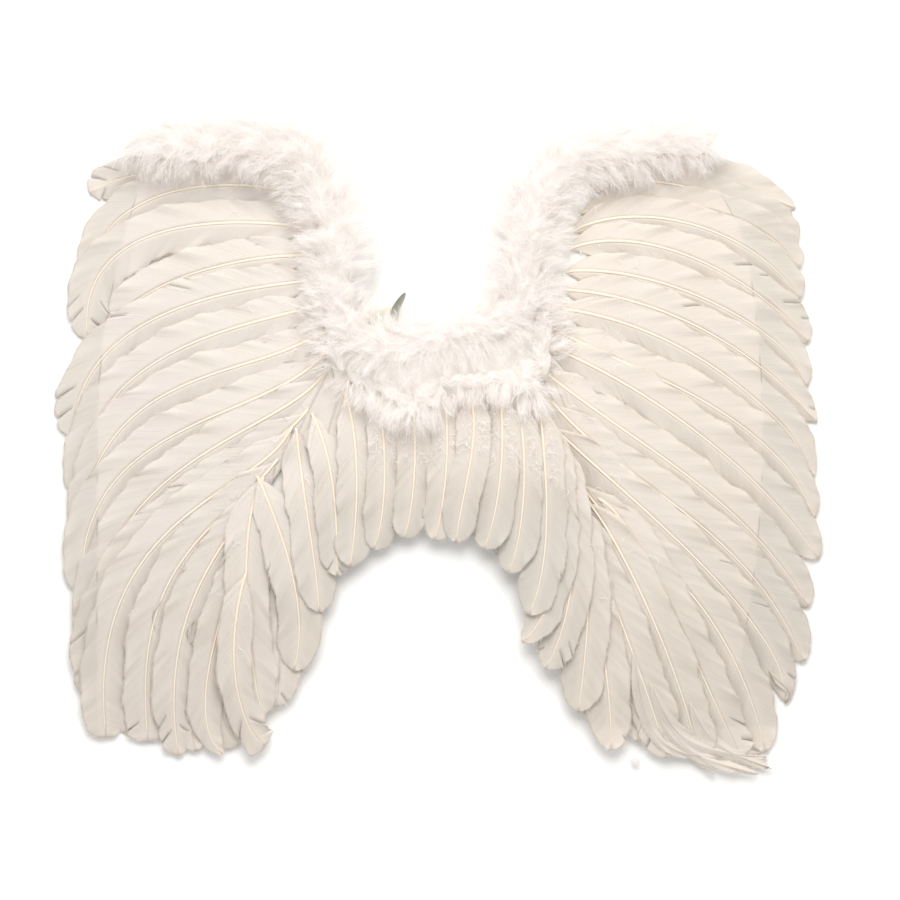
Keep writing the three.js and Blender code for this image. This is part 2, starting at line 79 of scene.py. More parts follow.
@dataclass
class Layout:
    """Turns shares of the half span and the height into places in the frame.

    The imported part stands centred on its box, so the shift is read from the left strap, whose place is known.
    """

    strap_x: float = -0.124
    strap_turns: float = 0.724
    band_thick: float = 0.0012
    shift: np.ndarray = field(init=False)

    def __post_init__(self) -> None:
        """Read the shift from the left strap's solid."""
        low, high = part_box("shoulder_strap_left")
        middle = (low[0] + high[0]) / 2 - self.strap_x * HALF_SPAN
        top = high[1] - self.band_thick / 2 - (self.strap_turns - 0.5) * HEIGHT
        self.shift = np.array([middle, top])

    def place(self, share: Share) -> np.ndarray:
        """Return the place of one share pair, in metres."""
        return np.array([share[0] * HALF_SPAN, (share[1] - 0.5) * HEIGHT]) + self.shift

    def places(self, shares: Sequence[Share]) -> np.ndarray:
        """Return the places of several share pairs, one row each."""
        return np.array([self.place(share) for share in shares])


# Node trees


@dataclass
class Wire:
    """A socket in a node tree, with arithmetic that adds Math nodes."""

    tree: "Tree"
    socket: bpy.types.NodeSocket

    def _math(self, operation: str, other: "Wire | float", swap: bool = False) -> "Wire":
        """Add a Math node.

        Args:
            operation: the Math node's operation.
            other: the second value.
            swap: whether the second value comes first.

        Returns:
            The node's output.
        """
        pair = [other, self] if swap else [self, other]
        return self.tree.node("ShaderNodeMath", {"operation": operation}, {0: pair[0], 1: pair[1]})

    def __add__(self, other: "Wire | float") -> "Wire":
        """Return the sum."""
        return self._math("ADD", other)

    def __radd__(self, other: float) -> "Wire":
        """Return the sum, reflected."""
        return self._math("ADD", other)

    def __sub__(self, other: "Wire | float") -> "Wire":
        """Return the difference."""
        return self._math("SUBTRACT", other)

    def __rsub__(self, other: float) -> "Wire":
        """Return the difference, reflected."""
        return self._math("SUBTRACT", other, swap=True)

    def __mul__(self, other: "Wire | float") -> "Wire":
        """Return the product."""
        return self._math("MULTIPLY", other)

    def __rmul__(self, other: float) -> "Wire":
        """Return the product, reflected."""
        return self._math("MULTIPLY", other)

    def __abs__(self) -> "Wire":
        """Return the absolute value."""
        return self._math("ABSOLUTE", 0.0)

    def __pow__(self, other: float) -> "Wire":
        """Return the power."""
        return self._math("POWER", other)

    def smooth(self, low: float, high: float) -> "Wire":
        """Return a smooth step from 0 at low to 1 at high."""
        return self.tree.node(
            "ShaderNodeMapRange", {"interpolation_type": "SMOOTHSTEP"}, {"Value": self, "From Min": low, "From Max": high}
        )


class Tree:
    """A node tree with one method that adds any node."""

    def __init__(self, nodes: bpy.types.NodeTree) -> None:
        """Keep the tree that the nodes go in."""
        self.tree = nodes

    def node(
        self, kind: str, settings: dict[str, object] | None = None, inputs: dict[int | str, object] | None = None,
        out: int | str = 0,
    ) -> Wire:
        """Add a node.

        Args:
            kind: the node's type.
            settings: its properties, set before its sockets.
            inputs: values or wires by socket index or name.
            out: the output to return, by index or name.

        Returns:
            The chosen output.
        """
        made = self.tree.nodes.new(kind)
        for name, value in (settings or {}).items():
            setattr(made, name, value)
        for key, value in (inputs or {}).items():
            for given in value if isinstance(value, list) else [value]:
                if isinstance(given, Wire):
                    self.tree.links.new(given.socket, made.inputs[key])
                else:
                    made.inputs[key].default_value = given
        return Wire(self, made.outputs[out]) if made.outputs else Wire(self, None)

    def mix(self, share: Wire | float, low: Wire | Colour, high: Wire | Colour) -> Wire:
        """Return a colour between two colours."""
        ends = [(*end, 1.0) if isinstance(end, tuple) else end for end in (low, high)]
        return self.node("ShaderNodeMix", {"data_type": "RGBA"}, {0: share, 6: ends[0], 7: ends[1]}, 2)

    def noise(self, vector: Wire, scale: float, detail: float = 2.0) -> Wire:
        """Return a noise value from 0 to 1."""
        return self.node("ShaderNodeTexNoise", {}, {"Vector": vector, "Scale": scale, "Detail": detail})

    def parts(self, vector: Wire) -> list[Wire]:
        """Return the three parts of a vector."""
        made = self.node("ShaderNodeSeparateXYZ", {}, {0: vector})
        return [Wire(self, output) for output in made.socket.node.outputs]

    def vector(self, x: Wire | float, y: Wire | float, z: Wire | float = 0.0) -> Wire:
        """Return a vector from three parts."""
        return self.node("ShaderNodeCombineXYZ", {}, {0: x, 1: y, 2: z})


# Finishes


@dataclass(frozen=True)
class Finish:
    """What every finish shares: a name, a roughness and a Principled shader."""

    name: str
    roughness: float = 0.7
    sheen: float = 0.0
    bump: float = 0.2
    depth: float = 0.0004
    glow: float = 0.0

    def colour_and_relief(self, tree: Tree) -> tuple[Wire, Wire]:
        """Return the base colour and the relief of the surface."""
        raise NotImplementedError

    def build(self) -> bpy.types.Material:
        """Make the material.

        Returns:
            The new material.
        """
        material = bpy.data.materials.new(self.name)
        material.use_nodes = True
        material.node_tree.nodes.clear()
        tree = Tree(material.node_tree)
        colour, relief = self.colour_and_relief(tree)
        normal = tree.node(
            "ShaderNodeBump", {}, {"Strength": self.bump, "Distance": self.depth, "Height": relief}
        )
        shader = tree.node(
            "ShaderNodeBsdfPrincipled", {},
            {"Base Color": colour, "Roughness": self.roughness, "Sheen Weight": self.sheen, "Normal": normal,
             "Emission Color": self.shine(tree), "Emission Strength": self.glow},
        )
        tree.node("ShaderNodeOutputMaterial", {}, {"Surface": self.thinned(tree, shader)})
        return material

    def shine(self, tree: Tree) -> Wire | tuple[float, ...]:
        """Return the colour that the surface gives back from inside, black for most."""
        return (0.0, 0.0, 0.0, 1.0)

    def thinned(self, tree: Tree, shader: Wire) -> Wire:
        """Return the shader, or a mix with light that comes through."""
        return shader


@dataclass(frozen=True)
class VaneFinish(Finish):
    """A feather's vane: fine barbs that run out from the shaft, with painted shade that makes it greyer at the tips and
    lower down.

    Where the card ends under the feathers they turn greyer along a clear line, which bows with the card: painted shade
    where no card lies behind them, and a broken painted shadow along the card's edge.
    """

    bright: Colour = (0.915, 0.866, 0.808)
    rosy: Colour = (0.915, 0.853, 0.818)
    golden: Colour = (0.905, 0.833, 0.748)
    # greyer colour for the painted shade lower down and past the card, and for darker random tone
    dull_shade: Colour = (0.735, 0.675, 0.605)
    warm: Colour = (0.955, 0.86, 0.77)
    # cooler colour for the painted shade past the card and for the lower middle
    cool: Colour = (0.755, 0.74, 0.7)
    # colour of the painted shadow along the card's edge
    dark: Colour = (0.44, 0.41, 0.36)
    lit: Colour = (0.845, 0.79, 0.725)
    through: float = 0.35
    left_edge: float = -0.291
    left_bow: float = 0.84
    right_edge: float = 0.271
    right_bow: float = 0.55
    corner_from: float = 0.14
    corner_bow: float = 3.5

    def _beyond_card(self, tree: Tree, x: Wire, y: Wire) -> tuple[Wire, Wire]:
        """Return how far a place is beyond the card, as a share for the painted shade there, and a broken painted
        shadow line along its edge.
        """
        upper = tree.node("ShaderNodeMath", {"operation": "MAXIMUM"}, {0: y, 1: 0.0})
        left = (self.left_edge + upper * upper * self.left_bow) - x
        corner = tree.node("ShaderNodeMath", {"operation": "MAXIMUM"}, {0: y, 1: self.corner_from}) - self.corner_from
        right = x - (self.right_edge - (y + 0.005) * (y + 0.005) * self.right_bow - corner * corner * self.corner_bow)
        past = tree.node("ShaderNodeMath", {"operation": "MAXIMUM"}, {0: left, 1: right})
        # painted shadow: a thin dark line along the card's edge, broken into gaps by noise
        gaps = tree.noise(tree.vector(y * 30.0, 0.0), 1.0, 2.0).smooth(0.46, 0.6)
        held = 1.0 - (0.0 - y).smooth(0.18, 0.225)
        line = (1.0 - abs(past - 0.0004).smooth(0.0003, 0.0011)) * gaps * held
        return past.smooth(-0.001, 0.003) * (held * 0.7 + 0.3), line

    def colour_and_relief(self, tree: Tree) -> tuple[Wire, Wire]:
        """Return the streaked colour, with its painted shade and shadow, and the barbs' relief."""
        along, across, _ = tree.parts(tree.node("ShaderNodeUVMap", {"uv_map": "vane"}, {}))
        x, y, _ = tree.parts(tree.node("ShaderNodeTexCoord", {}, {}, "Object"))
        own = tree.node("ShaderNodeMath", {"operation": "FLOOR"}, {0: x * 9.0}) * 0.37
        barbs = tree.noise(tree.vector(along * 620.0, across * 20.0, own), 1.0, 2.0)
        bands = tree.noise(tree.vector(along * 130.0, across * 14.0, own + 4.0), 1.0, 2.0)
        slits = tree.noise(tree.vector(along * 330.0, across * 34.0, own + 9.0), 1.0, 1.0).smooth(0.66, 0.72)
        patches = tree.noise(tree.vector(x, y, 1.0), 22.0, 2.0)
        past, line = self._beyond_card(tree, x, y)
        # painted shade: the vanes turn greyer towards the bottom, where less light falls
        lower = (0.0 - y).smooth(-0.05, 0.27)
        centre = (1.0 - abs(x).smooth(0.06, 0.15)) * (0.0 - y).smooth(-0.01, 0.08)
        # the painted shade is taken off the swept brush at lower right, so it reads lighter
        brush = x.smooth(0.1, 0.17) * (0.0 - y).smooth(0.246, 0.258)
        # painted shade past the card and lower down, a darker lower middle, and random tone from the bands, barbs and
        # patches
        wear_and_shade = past * 0.34 + lower * 0.44 + centre * 0.64 + bands * 0.8 + barbs * 0.5 + patches * 0.4 - 0.78
        wear_and_shade = wear_and_shade - brush * 0.8
        hues = tree.noise(tree.vector(along * 40.0, across * 30.0, x * 3.0), 1.0, 2.0)
        colour = tree.mix(hues.smooth(0.4, 0.65), self.bright, self.rosy)
        colour = tree.mix(x.smooth(-0.1, 0.2) * 0.55 + patches * 0.3, colour, self.golden)
        colour = tree.mix(wear_and_shade.smooth(-0.1, 1.0), colour, self.dull_shade)
        # painted shade: cooler past the card; the lower middle is cooler too
        colour = tree.mix(past * 0.28 + centre * (0.0 - y).smooth(0.03, 0.1) * 0.5, colour, self.cool)
        near_shaft = 1.0 - abs(across).smooth(0.0005, 0.008)
        colour = tree.mix(near_shaft * 0.4, colour, self.warm)
        # painted shade in the slits where barbs part
        colour = tree.mix(slits * 0.12, colour, self.dull_shade)
        # painted shadow: the broken dark line along the card's edge
        return tree.mix(line * 0.55, colour, self.dark), barbs * 0.45 + bands * 0.9 - slits * 0.2

    def thinned(self, tree: Tree, shader: Wire) -> Wire:
        """Return the shader mixed with light that comes through the vane."""
        light = tree.node("ShaderNodeBsdfTranslucent", {}, {"Color": (*self.lit, 1.0)})
        return tree.node("ShaderNodeMixShader", {}, {0: self.through, 1: shader, 2: light})


@dataclass(frozen=True)
class ShaftFinish(Finish):
    """A feather's shaft: pale horn, creamier at the quill."""

    pale: Colour = (0.845, 0.77, 0.66)
    cream: Colour = (0.845, 0.72, 0.575)

    def colour_and_relief(self, tree: Tree) -> tuple[Wire, Wire]:
        """Return the horn's colour and its faint grain."""
        along, _, _ = tree.parts(tree.node("ShaderNodeUVMap", {"uv_map": "vane"}, {}))
        place = tree.node("ShaderNodeTexCoord", {}, {}, "Object")
        grain = tree.noise(place, 160.0, 3.0)
        share = (1.0 - along.smooth(0.0, 0.2)) * 0.7 + grain * 0.3
        return tree.mix(share, self.pale, self.cream), grain


@dataclass(frozen=True)
class DownFinish(Finish):
    """Marabou down: nearly white, with cooler and rosier tufts, and painted shade that darkens the roots and the body
    under the plumes.

    A faint glow stands for the light that wanders about inside the down, most where it lies deepest.
    """

    white: Colour = (0.97, 0.955, 0.945)
    rosy: Colour = (0.97, 0.94, 0.94)
    shade: Colour = (0.91, 0.865, 0.82)
    # colour of the painted glow
    inner: Colour = (1.0, 0.985, 0.98)
    lit: Colour = (0.955, 0.935, 0.92)
    through: float = 0.52

    def shine(self, tree: Tree) -> Wire | tuple[float, ...]:
        """Return the colour of the painted glow that stands for light from inside: least in the top strips, more round
        the notch, most below it, and more towards the plume tips.
        """
        _, y, _ = tree.parts(tree.node("ShaderNodeTexCoord", {}, {}, "Object"))
        reach = tree.node("ShaderNodeAttribute", {"attribute_name": "reach"}, {}, "Fac")
        below = 1.0 - y.smooth(0.04, 0.14)
        beside = 1.0 - y.smooth(0.15, 0.24)
        # painted glow: stronger low down and round the notch, and towards the plume tips
        share = (below * 0.55 + beside * 0.5 + 0.3) * (reach * 0.9 + 0.12)
        return tree.mix(share, (0.0, 0.0, 0.0), self.inner)

    def colour_and_relief(self, tree: Tree) -> tuple[Wire, Wire]:
        """Return the tufts' colour, with painted shade at the roots, and a soft relief."""
        place = tree.node("ShaderNodeTexCoord", {}, {}, "Object")
        tufts = tree.noise(place, 26.0, 3.0)
        fine = tree.noise(place, 240.0, 2.0)
        tone = tree.node("ShaderNodeAttribute", {"attribute_name": "tone"}, {}, "Fac")
        reach = tree.node("ShaderNodeAttribute", {"attribute_name": "reach"}, {}, "Fac")
        colour = tree.mix(tufts.smooth(0.4, 0.7), self.white, self.rosy)
        # random tone per plume, and painted shade at the plumes' roots and on the body, which carries no reach
        dark = tone * 0.35 + (1.0 - reach) * 0.45
        return tree.mix(dark, colour, self.shade), fine

    def thinned(self, tree: Tree, shader: Wire) -> Wire:
        """Return the shader mixed with light that comes through the down."""
        light = tree.node("ShaderNodeBsdfTranslucent", {}, {"Color": (*self.lit, 1.0)})
        return tree.node("ShaderNodeMixShader", {}, {0: self.through, 1: shader, 2: light})


@dataclass(frozen=True)
class BandFinish(Finish):
    """Woven elastic: fine ribs along the band, crossed by the weave, with painted shade in the grooves and on the
    loop's inner face.
    """

    face: Colour = (0.87, 0.87, 0.76)
    # colour of the painted shade in the grooves between the ribs
    groove_shade: Colour = (0.76, 0.76, 0.65)
    # colour of the painted shade on the loop's inner face
    inside: Colour = (0.6, 0.615, 0.54)

    def colour_and_relief(self, tree: Tree) -> tuple[Wire, Wire]:
        """Return the ribs' colour, with painted shade in the grooves and on the inner face, and their relief."""
        along, across, _ = tree.parts(tree.node("ShaderNodeUVMap", {"uv_map": "vane"}, {}))
        inner = across.smooth(0.05, 0.06)
        ribs = tree.node(
            "ShaderNodeTexWave", {"wave_type": "BANDS", "bands_direction": "X"},
            {"Vector": tree.vector(across, along), "Scale": 260.0, "Distortion": 0.4, "Detail": 1.0}, 1,
        )
        picks = tree.node(
            "ShaderNodeTexWave", {"wave_type": "BANDS", "bands_direction": "Y"},
            {"Vector": tree.vector(across, along), "Scale": 190.0, "Distortion": 0.3, "Detail": 1.0}, 1,
        )
        relief = ribs * 0.65 + picks * 0.35
        # painted shade: darker where the relief is low, in the grooves
        colour = tree.mix(relief.smooth(0.05, 0.8), self.groove_shade, self.face)
        # painted shade on the band's inner face
        return tree.mix(inner, colour, self.inside), relief


@dataclass(frozen=True)
class CardFinish(Finish):
    """Stiff white card: paper fibres and a slightly yellowed surface."""

    white: Colour = (0.93, 0.915, 0.88)
    yellowed: Colour = (0.86, 0.83, 0.76)

    def colour_and_relief(self, tree: Tree) -> tuple[Wire, Wire]:
        """Return the paper's colour and fibres."""
        place = tree.node("ShaderNodeTexCoord", {}, {}, "Object")
        clouds = tree.noise(place, 9.0, 3.0)
        fibres = tree.noise(place, 700.0, 4.0)
        return tree.mix(clouds.smooth(0.35, 0.75), self.white, self.yellowed), fibres


@dataclass(frozen=True)
class FloorFinish(Finish):
    """Plain pale floor."""

    white: Colour = (0.975, 0.97, 0.96)

    def colour_and_relief(self, tree: Tree) -> tuple[Wire, Wire]:
        """Return the floor's colour and a barely visible relief."""
        place = tree.node("ShaderNodeTexCoord", {}, {}, "Object")
        clouds = tree.noise(place, 1.5, 2.0)
        return tree.mix(clouds * 0.2, self.white, (0.955, 0.95, 0.94)), clouds


@dataclass
class Finishes:
    """All the materials, made once."""

    vane: bpy.types.Material = field(
        default_factory=lambda: VaneFinish("feather_vane", 0.62, 0.1, 0.45, 0.001).build())
    shaft: bpy.types.Material = field(default_factory=lambda: ShaftFinish("feather_shaft", 0.38, 0.0, 0.1).build())
    down: bpy.types.Material = field(
        default_factory=lambda: DownFinish("marabou_down", 0.9, 0.3, 0.1, 0.0003, 0.185).build())
    band: bpy.types.Material = field(default_factory=lambda: BandFinish("woven_elastic", 0.85, 0.2, 0.6).build())
    card: bpy.types.Material = field(default_factory=lambda: CardFinish("white_card", 0.85, 0.0, 0.25).build())
    floor: bpy.types.Material = field(default_factory=lambda: FloorFinish("pale_floor", 0.9, 0.0, 0.05).build())


# Meshes


@dataclass
class Shell:
    """Corners, faces, UVs and material numbers of one growing mesh."""

    corners: list[np.ndarray] = field(default_factory=list)
    faces: list[tuple[int, ...]] = field(default_factory=list)
    uvs: list[np.ndarray] = field(default_factory=list)
    slots: list[int] = field(default_factory=list)
    smooth: list[bool] = field(default_factory=list)
    count: int = 0

    def add(
        self, corners: np.ndarray, uvs: np.ndarray, faces: list[tuple[int, ...]], slot: int, flat: int = 0
    ) -> None:
        """Add a patch.

        Args:
            corners: its corners, one row each.
            uvs: a UV for each corner.
            faces: its faces, by corner number within the patch.
            slot: its material number.
            flat: how many of the last faces are shaded flat.
        """
        self.smooth.extend([True] * (len(faces) - flat) + [False] * flat)
        self.corners.append(corners)
        self.uvs.append(uvs)
        self.faces.extend(tuple(corner + self.count for corner in face) for face in faces)
        self.slots.extend([slot] * len(faces))
        self.count += len(corners)

    def mesh(self, name: str, materials: Sequence[bpy.types.Material]) -> bpy.types.Object:
        """Make the object.

        Args:
            name: the piece's name.
            materials: its materials in slot order.

        Returns:
            The linked object.
        """
        made = bpy.data.meshes.new(name)
        made.from_pydata(np.concatenate(self.corners).tolist(), [], self.faces)
        spread = np.concatenate(self.uvs)
        layer = made.uv_layers.new(name="vane")
        loops = np.empty(len(made.loops), dtype=np.int64)
        made.loops.foreach_get("vertex_index", loops)
        layer.data.foreach_set("uv", spread[loops].astype(np.float32).ravel())
        made.polygons.foreach_set("material_index", np.array(self.slots, dtype=np.int32))
        made.polygons.foreach_set("use_smooth", np.array(self.smooth, dtype=bool))
        for material in materials:
            made.materials.append(material)
        made.update()
        return linked(bpy.data.objects.new(name, made))


def linked(piece: bpy.types.Object) -> bpy.types.Object:
    """Link an object to the scene and return it."""
    bpy.context.scene.collection.objects.link(piece)
    return piece


def thin_sheet(
    corners: np.ndarray, uvs: np.ndarray, faces: list[tuple[int, ...]], thick: float
) -> tuple[np.ndarray, np.ndarray, list[tuple[int, ...]], int]:
    """Give a sheet a second layer below it and a rim, and drop the corners that no face uses.

    Args:
        corners: the sheet's corners, one row each.
        uvs: a UV for each corner.
        faces: the sheet's faces, upward.
        thick: how far below the second layer lies.

    Returns:
        The corners, UVs and faces of the closed sheet, and the number of rim faces, which come last.
    """
    used = np.unique(np.array(faces))
    number = {int(old): new for new, old in enumerate(used)}
    top = [tuple(number[corner] for corner in face) for face in faces]
    below = len(used)
    edges = {(face[n - 1], face[n]) for face in top for n in range(len(face))}
    rim = [(b, a, a + below, b + below) for a, b in edges if (b, a) not in edges]
    closed = top + [tuple(corner + below for corner in reversed(face)) for face in top] + sorted(rim)
    layer = corners[used]
    return np.concatenate([layer, layer - [0, 0, thick]]), np.concatenate([uvs[used]] * 2), closed, len(rim)


def tube_faces(rings: int, around: int) -> list[tuple[int, ...]]:
    """Return the faces of a closed tube of several rings, with both ends capped."""
    faces: list[tuple[int, ...]] = []
    for ring in range(rings - 1):
        for corner in range(around):
            here = ring * around + corner
            after = ring * around + (corner + 1) % around
            faces.append((here, after, after + around, here + around))
    faces.append(tuple(reversed(range(around))))
    faces.append(tuple((rings - 1) * around + corner for corner in range(around)))
    return faces


def smoothed(values: np.ndarray, passes: int) -> np.ndarray:
    """Return values evened out along a line, with the ends kept."""
    for _ in range(passes):
        padded = np.concatenate([values[:1], values, values[-1:]])
        values = (padded[:-2] + 2 * padded[1:-1] + padded[2:]) / 4
    return values


# Feathers


class Tip(Enum):
    """How a feather ends."""

    ROUND = "round"
    SPLIT = "split"
    HOOKED = "hooked"
    FAN = "fan"
    POINTED = "pointed"
    BLUNT = "blunt"
    STRAND = "strand"


@dataclass(frozen=True)
class Feather:
    """One feather's line in shares, its width share and the way it ends."""

    root: Share
    a: Share
    b: Share
    tip: Share
    width: float
    end: Tip = Tip.ROUND
    wear_and_shade: float = 1.0


LEFT_FLIGHT = [
    Feather((-0.368, 0.91), (-0.535, 0.913), (-0.755, 0.904), (-0.917, 0.873), 0.96, Tip.SPLIT, 1.2),
    Feather((-0.368, 0.869), (-0.533, 0.884), (-0.765, 0.861), (-0.92, 0.758), 1.0, Tip.ROUND, 0.8),
    Feather((-0.337, 0.821), (-0.543, 0.828), (-0.812, 0.794), (-0.922, 0.655), 1.06, Tip.SPLIT, 1.3),
    Feather((-0.337, 0.779), (-0.523, 0.77), (-0.716, 0.737), (-0.853, 0.681), 1.04, Tip.ROUND, 1.6),
    Feather((-0.329, 0.743), (-0.535, 0.725), (-0.817, 0.661), (-0.96, 0.507), 1.09, Tip.SPLIT, 1.5),
    Feather((-0.321, 0.706), (-0.535, 0.672), (-0.812, 0.591), (-0.934, 0.415), 1.04, Tip.ROUND, 1.3),
    Feather((-0.311, 0.669), (-0.543, 0.612), (-0.812, 0.534), (-0.944, 0.33), 1.04, Tip.POINTED, 1.0),
    Feather((-0.303, 0.636), (-0.535, 0.554), (-0.815, 0.464), (-0.935, 0.274), 1.04, Tip.ROUND, 1.1),
    Feather((-0.316, 0.597), (-0.523, 0.516), (-0.785, 0.403), (-0.918, 0.19), 1.04, Tip.ROUND, 0.9),
    Feather((-0.355, 0.546), (-0.554, 0.457), (-0.806, 0.33), (-0.912, 0.116), 1.04, Tip.SPLIT, 1.0),
    Feather((-0.394, 0.519), (-0.569, 0.431), (-0.796, 0.307), (-0.874, 0.06), 1.04, Tip.BLUNT, 1.2),
]
LEFT_LOWER = [
    Feather((-0.432, 0.472), (-0.587, 0.382), (-0.729, 0.266), (-0.765, 0.054), 1.0, Tip.BLUNT, 1.2),
    Feather((-0.466, 0.43), (-0.569, 0.348), (-0.672, 0.221), (-0.685, 0.033), 0.96, Tip.SPLIT, 1.2),
    Feather((-0.497, 0.37), (-0.559, 0.266), (-0.613, 0.131), (-0.569, 0.036), 0.87, Tip.POINTED, 1.0),
    Feather((-0.466, 0.445), (-0.505, 0.342), (-0.499, 0.206), (-0.466, 0.093), 1.0, Tip.ROUND, 0.9),
    Feather((-0.51, 0.303), (-0.538, 0.206), (-0.525, 0.116), (-0.466, 0.045), 0.78, Tip.FAN, 1.6),
    Feather((-0.476, 0.448), (-0.409, 0.348), (-0.373, 0.251), (-0.386, 0.161), 0.96, Tip.ROUND, 1.0),
    Feather((-0.378, 0.519), (-0.355, 0.415), (-0.332, 0.325), (-0.319, 0.249), 0.87, Tip.ROUND, 0.8),
    Feather((-0.337, 0.542), (-0.29, 0.46), (-0.275, 0.378), (-0.272, 0.303), 0.83, Tip.ROUND, 0.8),
    Feather((-0.252, 0.572), (-0.226, 0.497), (-0.223, 0.407), (-0.239, 0.316), 0.83, Tip.ROUND, 0.8),
]
RIGHT_FLIGHT = [
    Feather((0.406, 0.91), (0.574, 0.913), (0.755, 0.888), (0.917, 0.851), 0.91, Tip.POINTED, 1.1),
    Feather((0.381, 0.875), (0.541, 0.89), (0.76, 0.858), (0.92, 0.799), 0.87, Tip.ROUND, 0.9),
    Feather((0.36, 0.842), (0.541, 0.858), (0.76, 0.834), (0.925, 0.761), 0.87, Tip.ROUND, 1.2),
    Feather((0.334, 0.815), (0.535, 0.836), (0.755, 0.801), (0.928, 0.715), 0.91, Tip.ROUND, 1.0),
    Feather((0.324, 0.788), (0.53, 0.796), (0.755, 0.745), (0.951, 0.651), 0.96, Tip.SPLIT, 1.0),
    Feather((0.316, 0.755), (0.523, 0.745), (0.76, 0.691), (0.964, 0.593), 1.0, Tip.HOOKED, 0.9),
    Feather((0.308, 0.728), (0.535, 0.703), (0.768, 0.637), (0.972, 0.531), 1.0, Tip.POINTED, 1.0),
    Feather((0.298, 0.701), (0.535, 0.664), (0.768, 0.585), (0.982, 0.458), 1.0, Tip.HOOKED, 1.1),
    Feather((0.283, 0.672), (0.523, 0.606), (0.768, 0.528), (0.985, 0.394), 1.0, Tip.HOOKED, 0.9),
    Feather((0.265, 0.646), (0.505, 0.576), (0.763, 0.466), (0.977, 0.327), 1.0, Tip.ROUND, 0.7),
    Feather((0.252, 0.612), (0.494, 0.509), (0.739, 0.401), (0.951, 0.255), 1.0, Tip.ROUND, 0.7),
    Feather((0.29, 0.557), (0.51, 0.446), (0.747, 0.336), (0.938, 0.173), 1.0, Tip.ROUND, 0.7),
    Feather((0.29, 0.522), (0.523, 0.4), (0.755, 0.266), (0.915, 0.118), 1.0, Tip.HOOKED, 1.1),
]
RIGHT_LOWER = [
    Feather((0.36, 0.44), (0.494, 0.357), (0.68, 0.248), (0.84, 0.039), 1.0, Tip.ROUND, 0.6),
    Feather((0.41, 0.415), (0.53, 0.322), (0.665, 0.164), (0.773, 0.031), 1.0, Tip.BLUNT, 1.0),
    Feather((0.38, 0.41), (0.471, 0.325), (0.582, 0.184), (0.665, 0.031), 1.0, Tip.BLUNT, 1.0),
    Feather((0.345, 0.405), (0.401, 0.322), (0.494, 0.184), (0.582, 0.031), 1.0, Tip.SPLIT, 1.0),
    Feather((0.345, 0.375), (0.386, 0.281), (0.422, 0.164), (0.437, 0.042), 0.96, Tip.ROUND, 0.9),
    Feather((0.33, 0.418), (0.37, 0.325), (0.373, 0.221), (0.352, 0.1), 0.96, Tip.ROUND, 0.7),
    Feather((0.29, 0.504), (0.334, 0.37), (0.324, 0.258), (0.267, 0.163), 0.91, Tip.SPLIT, 0.9),
    Feather((0.272, 0.534), (0.298, 0.43), (0.293, 0.318), (0.228, 0.197), 0.87, Tip.HOOKED, 0.9),
]
SKIRT = [
    Feather((-0.166, 0.564), (-0.151, 0.49), (-0.154, 0.407), (-0.179, 0.342), 0.78, Tip.ROUND, 0.4),
    Feather((0.252, 0.557), (0.265, 0.46), (0.265, 0.348), (0.223, 0.245), 0.91, Tip.ROUND, 0.4),
    Feather((-0.079, 0.564), (-0.071, 0.49), (-0.079, 0.415), (-0.099, 0.358), 0.78, Tip.ROUND, 0.4),
    Feather((0.19, 0.564), (0.21, 0.482), (0.203, 0.385), (0.169, 0.307), 0.83, Tip.ROUND, 0.4),
    Feather((0.001, 0.579), (0.012, 0.497), (0.001, 0.415), (-0.022, 0.355), 0.78, Tip.ROUND, 0.4),
    Feather((0.148, 0.576), (0.154, 0.497), (0.141, 0.415), (0.107, 0.342), 0.83, Tip.ROUND, 0.4),
    Feather((0.071, 0.579), (0.079, 0.504), (0.058, 0.43), (0.035, 0.352), 0.78, Tip.ROUND, 0.4),
]


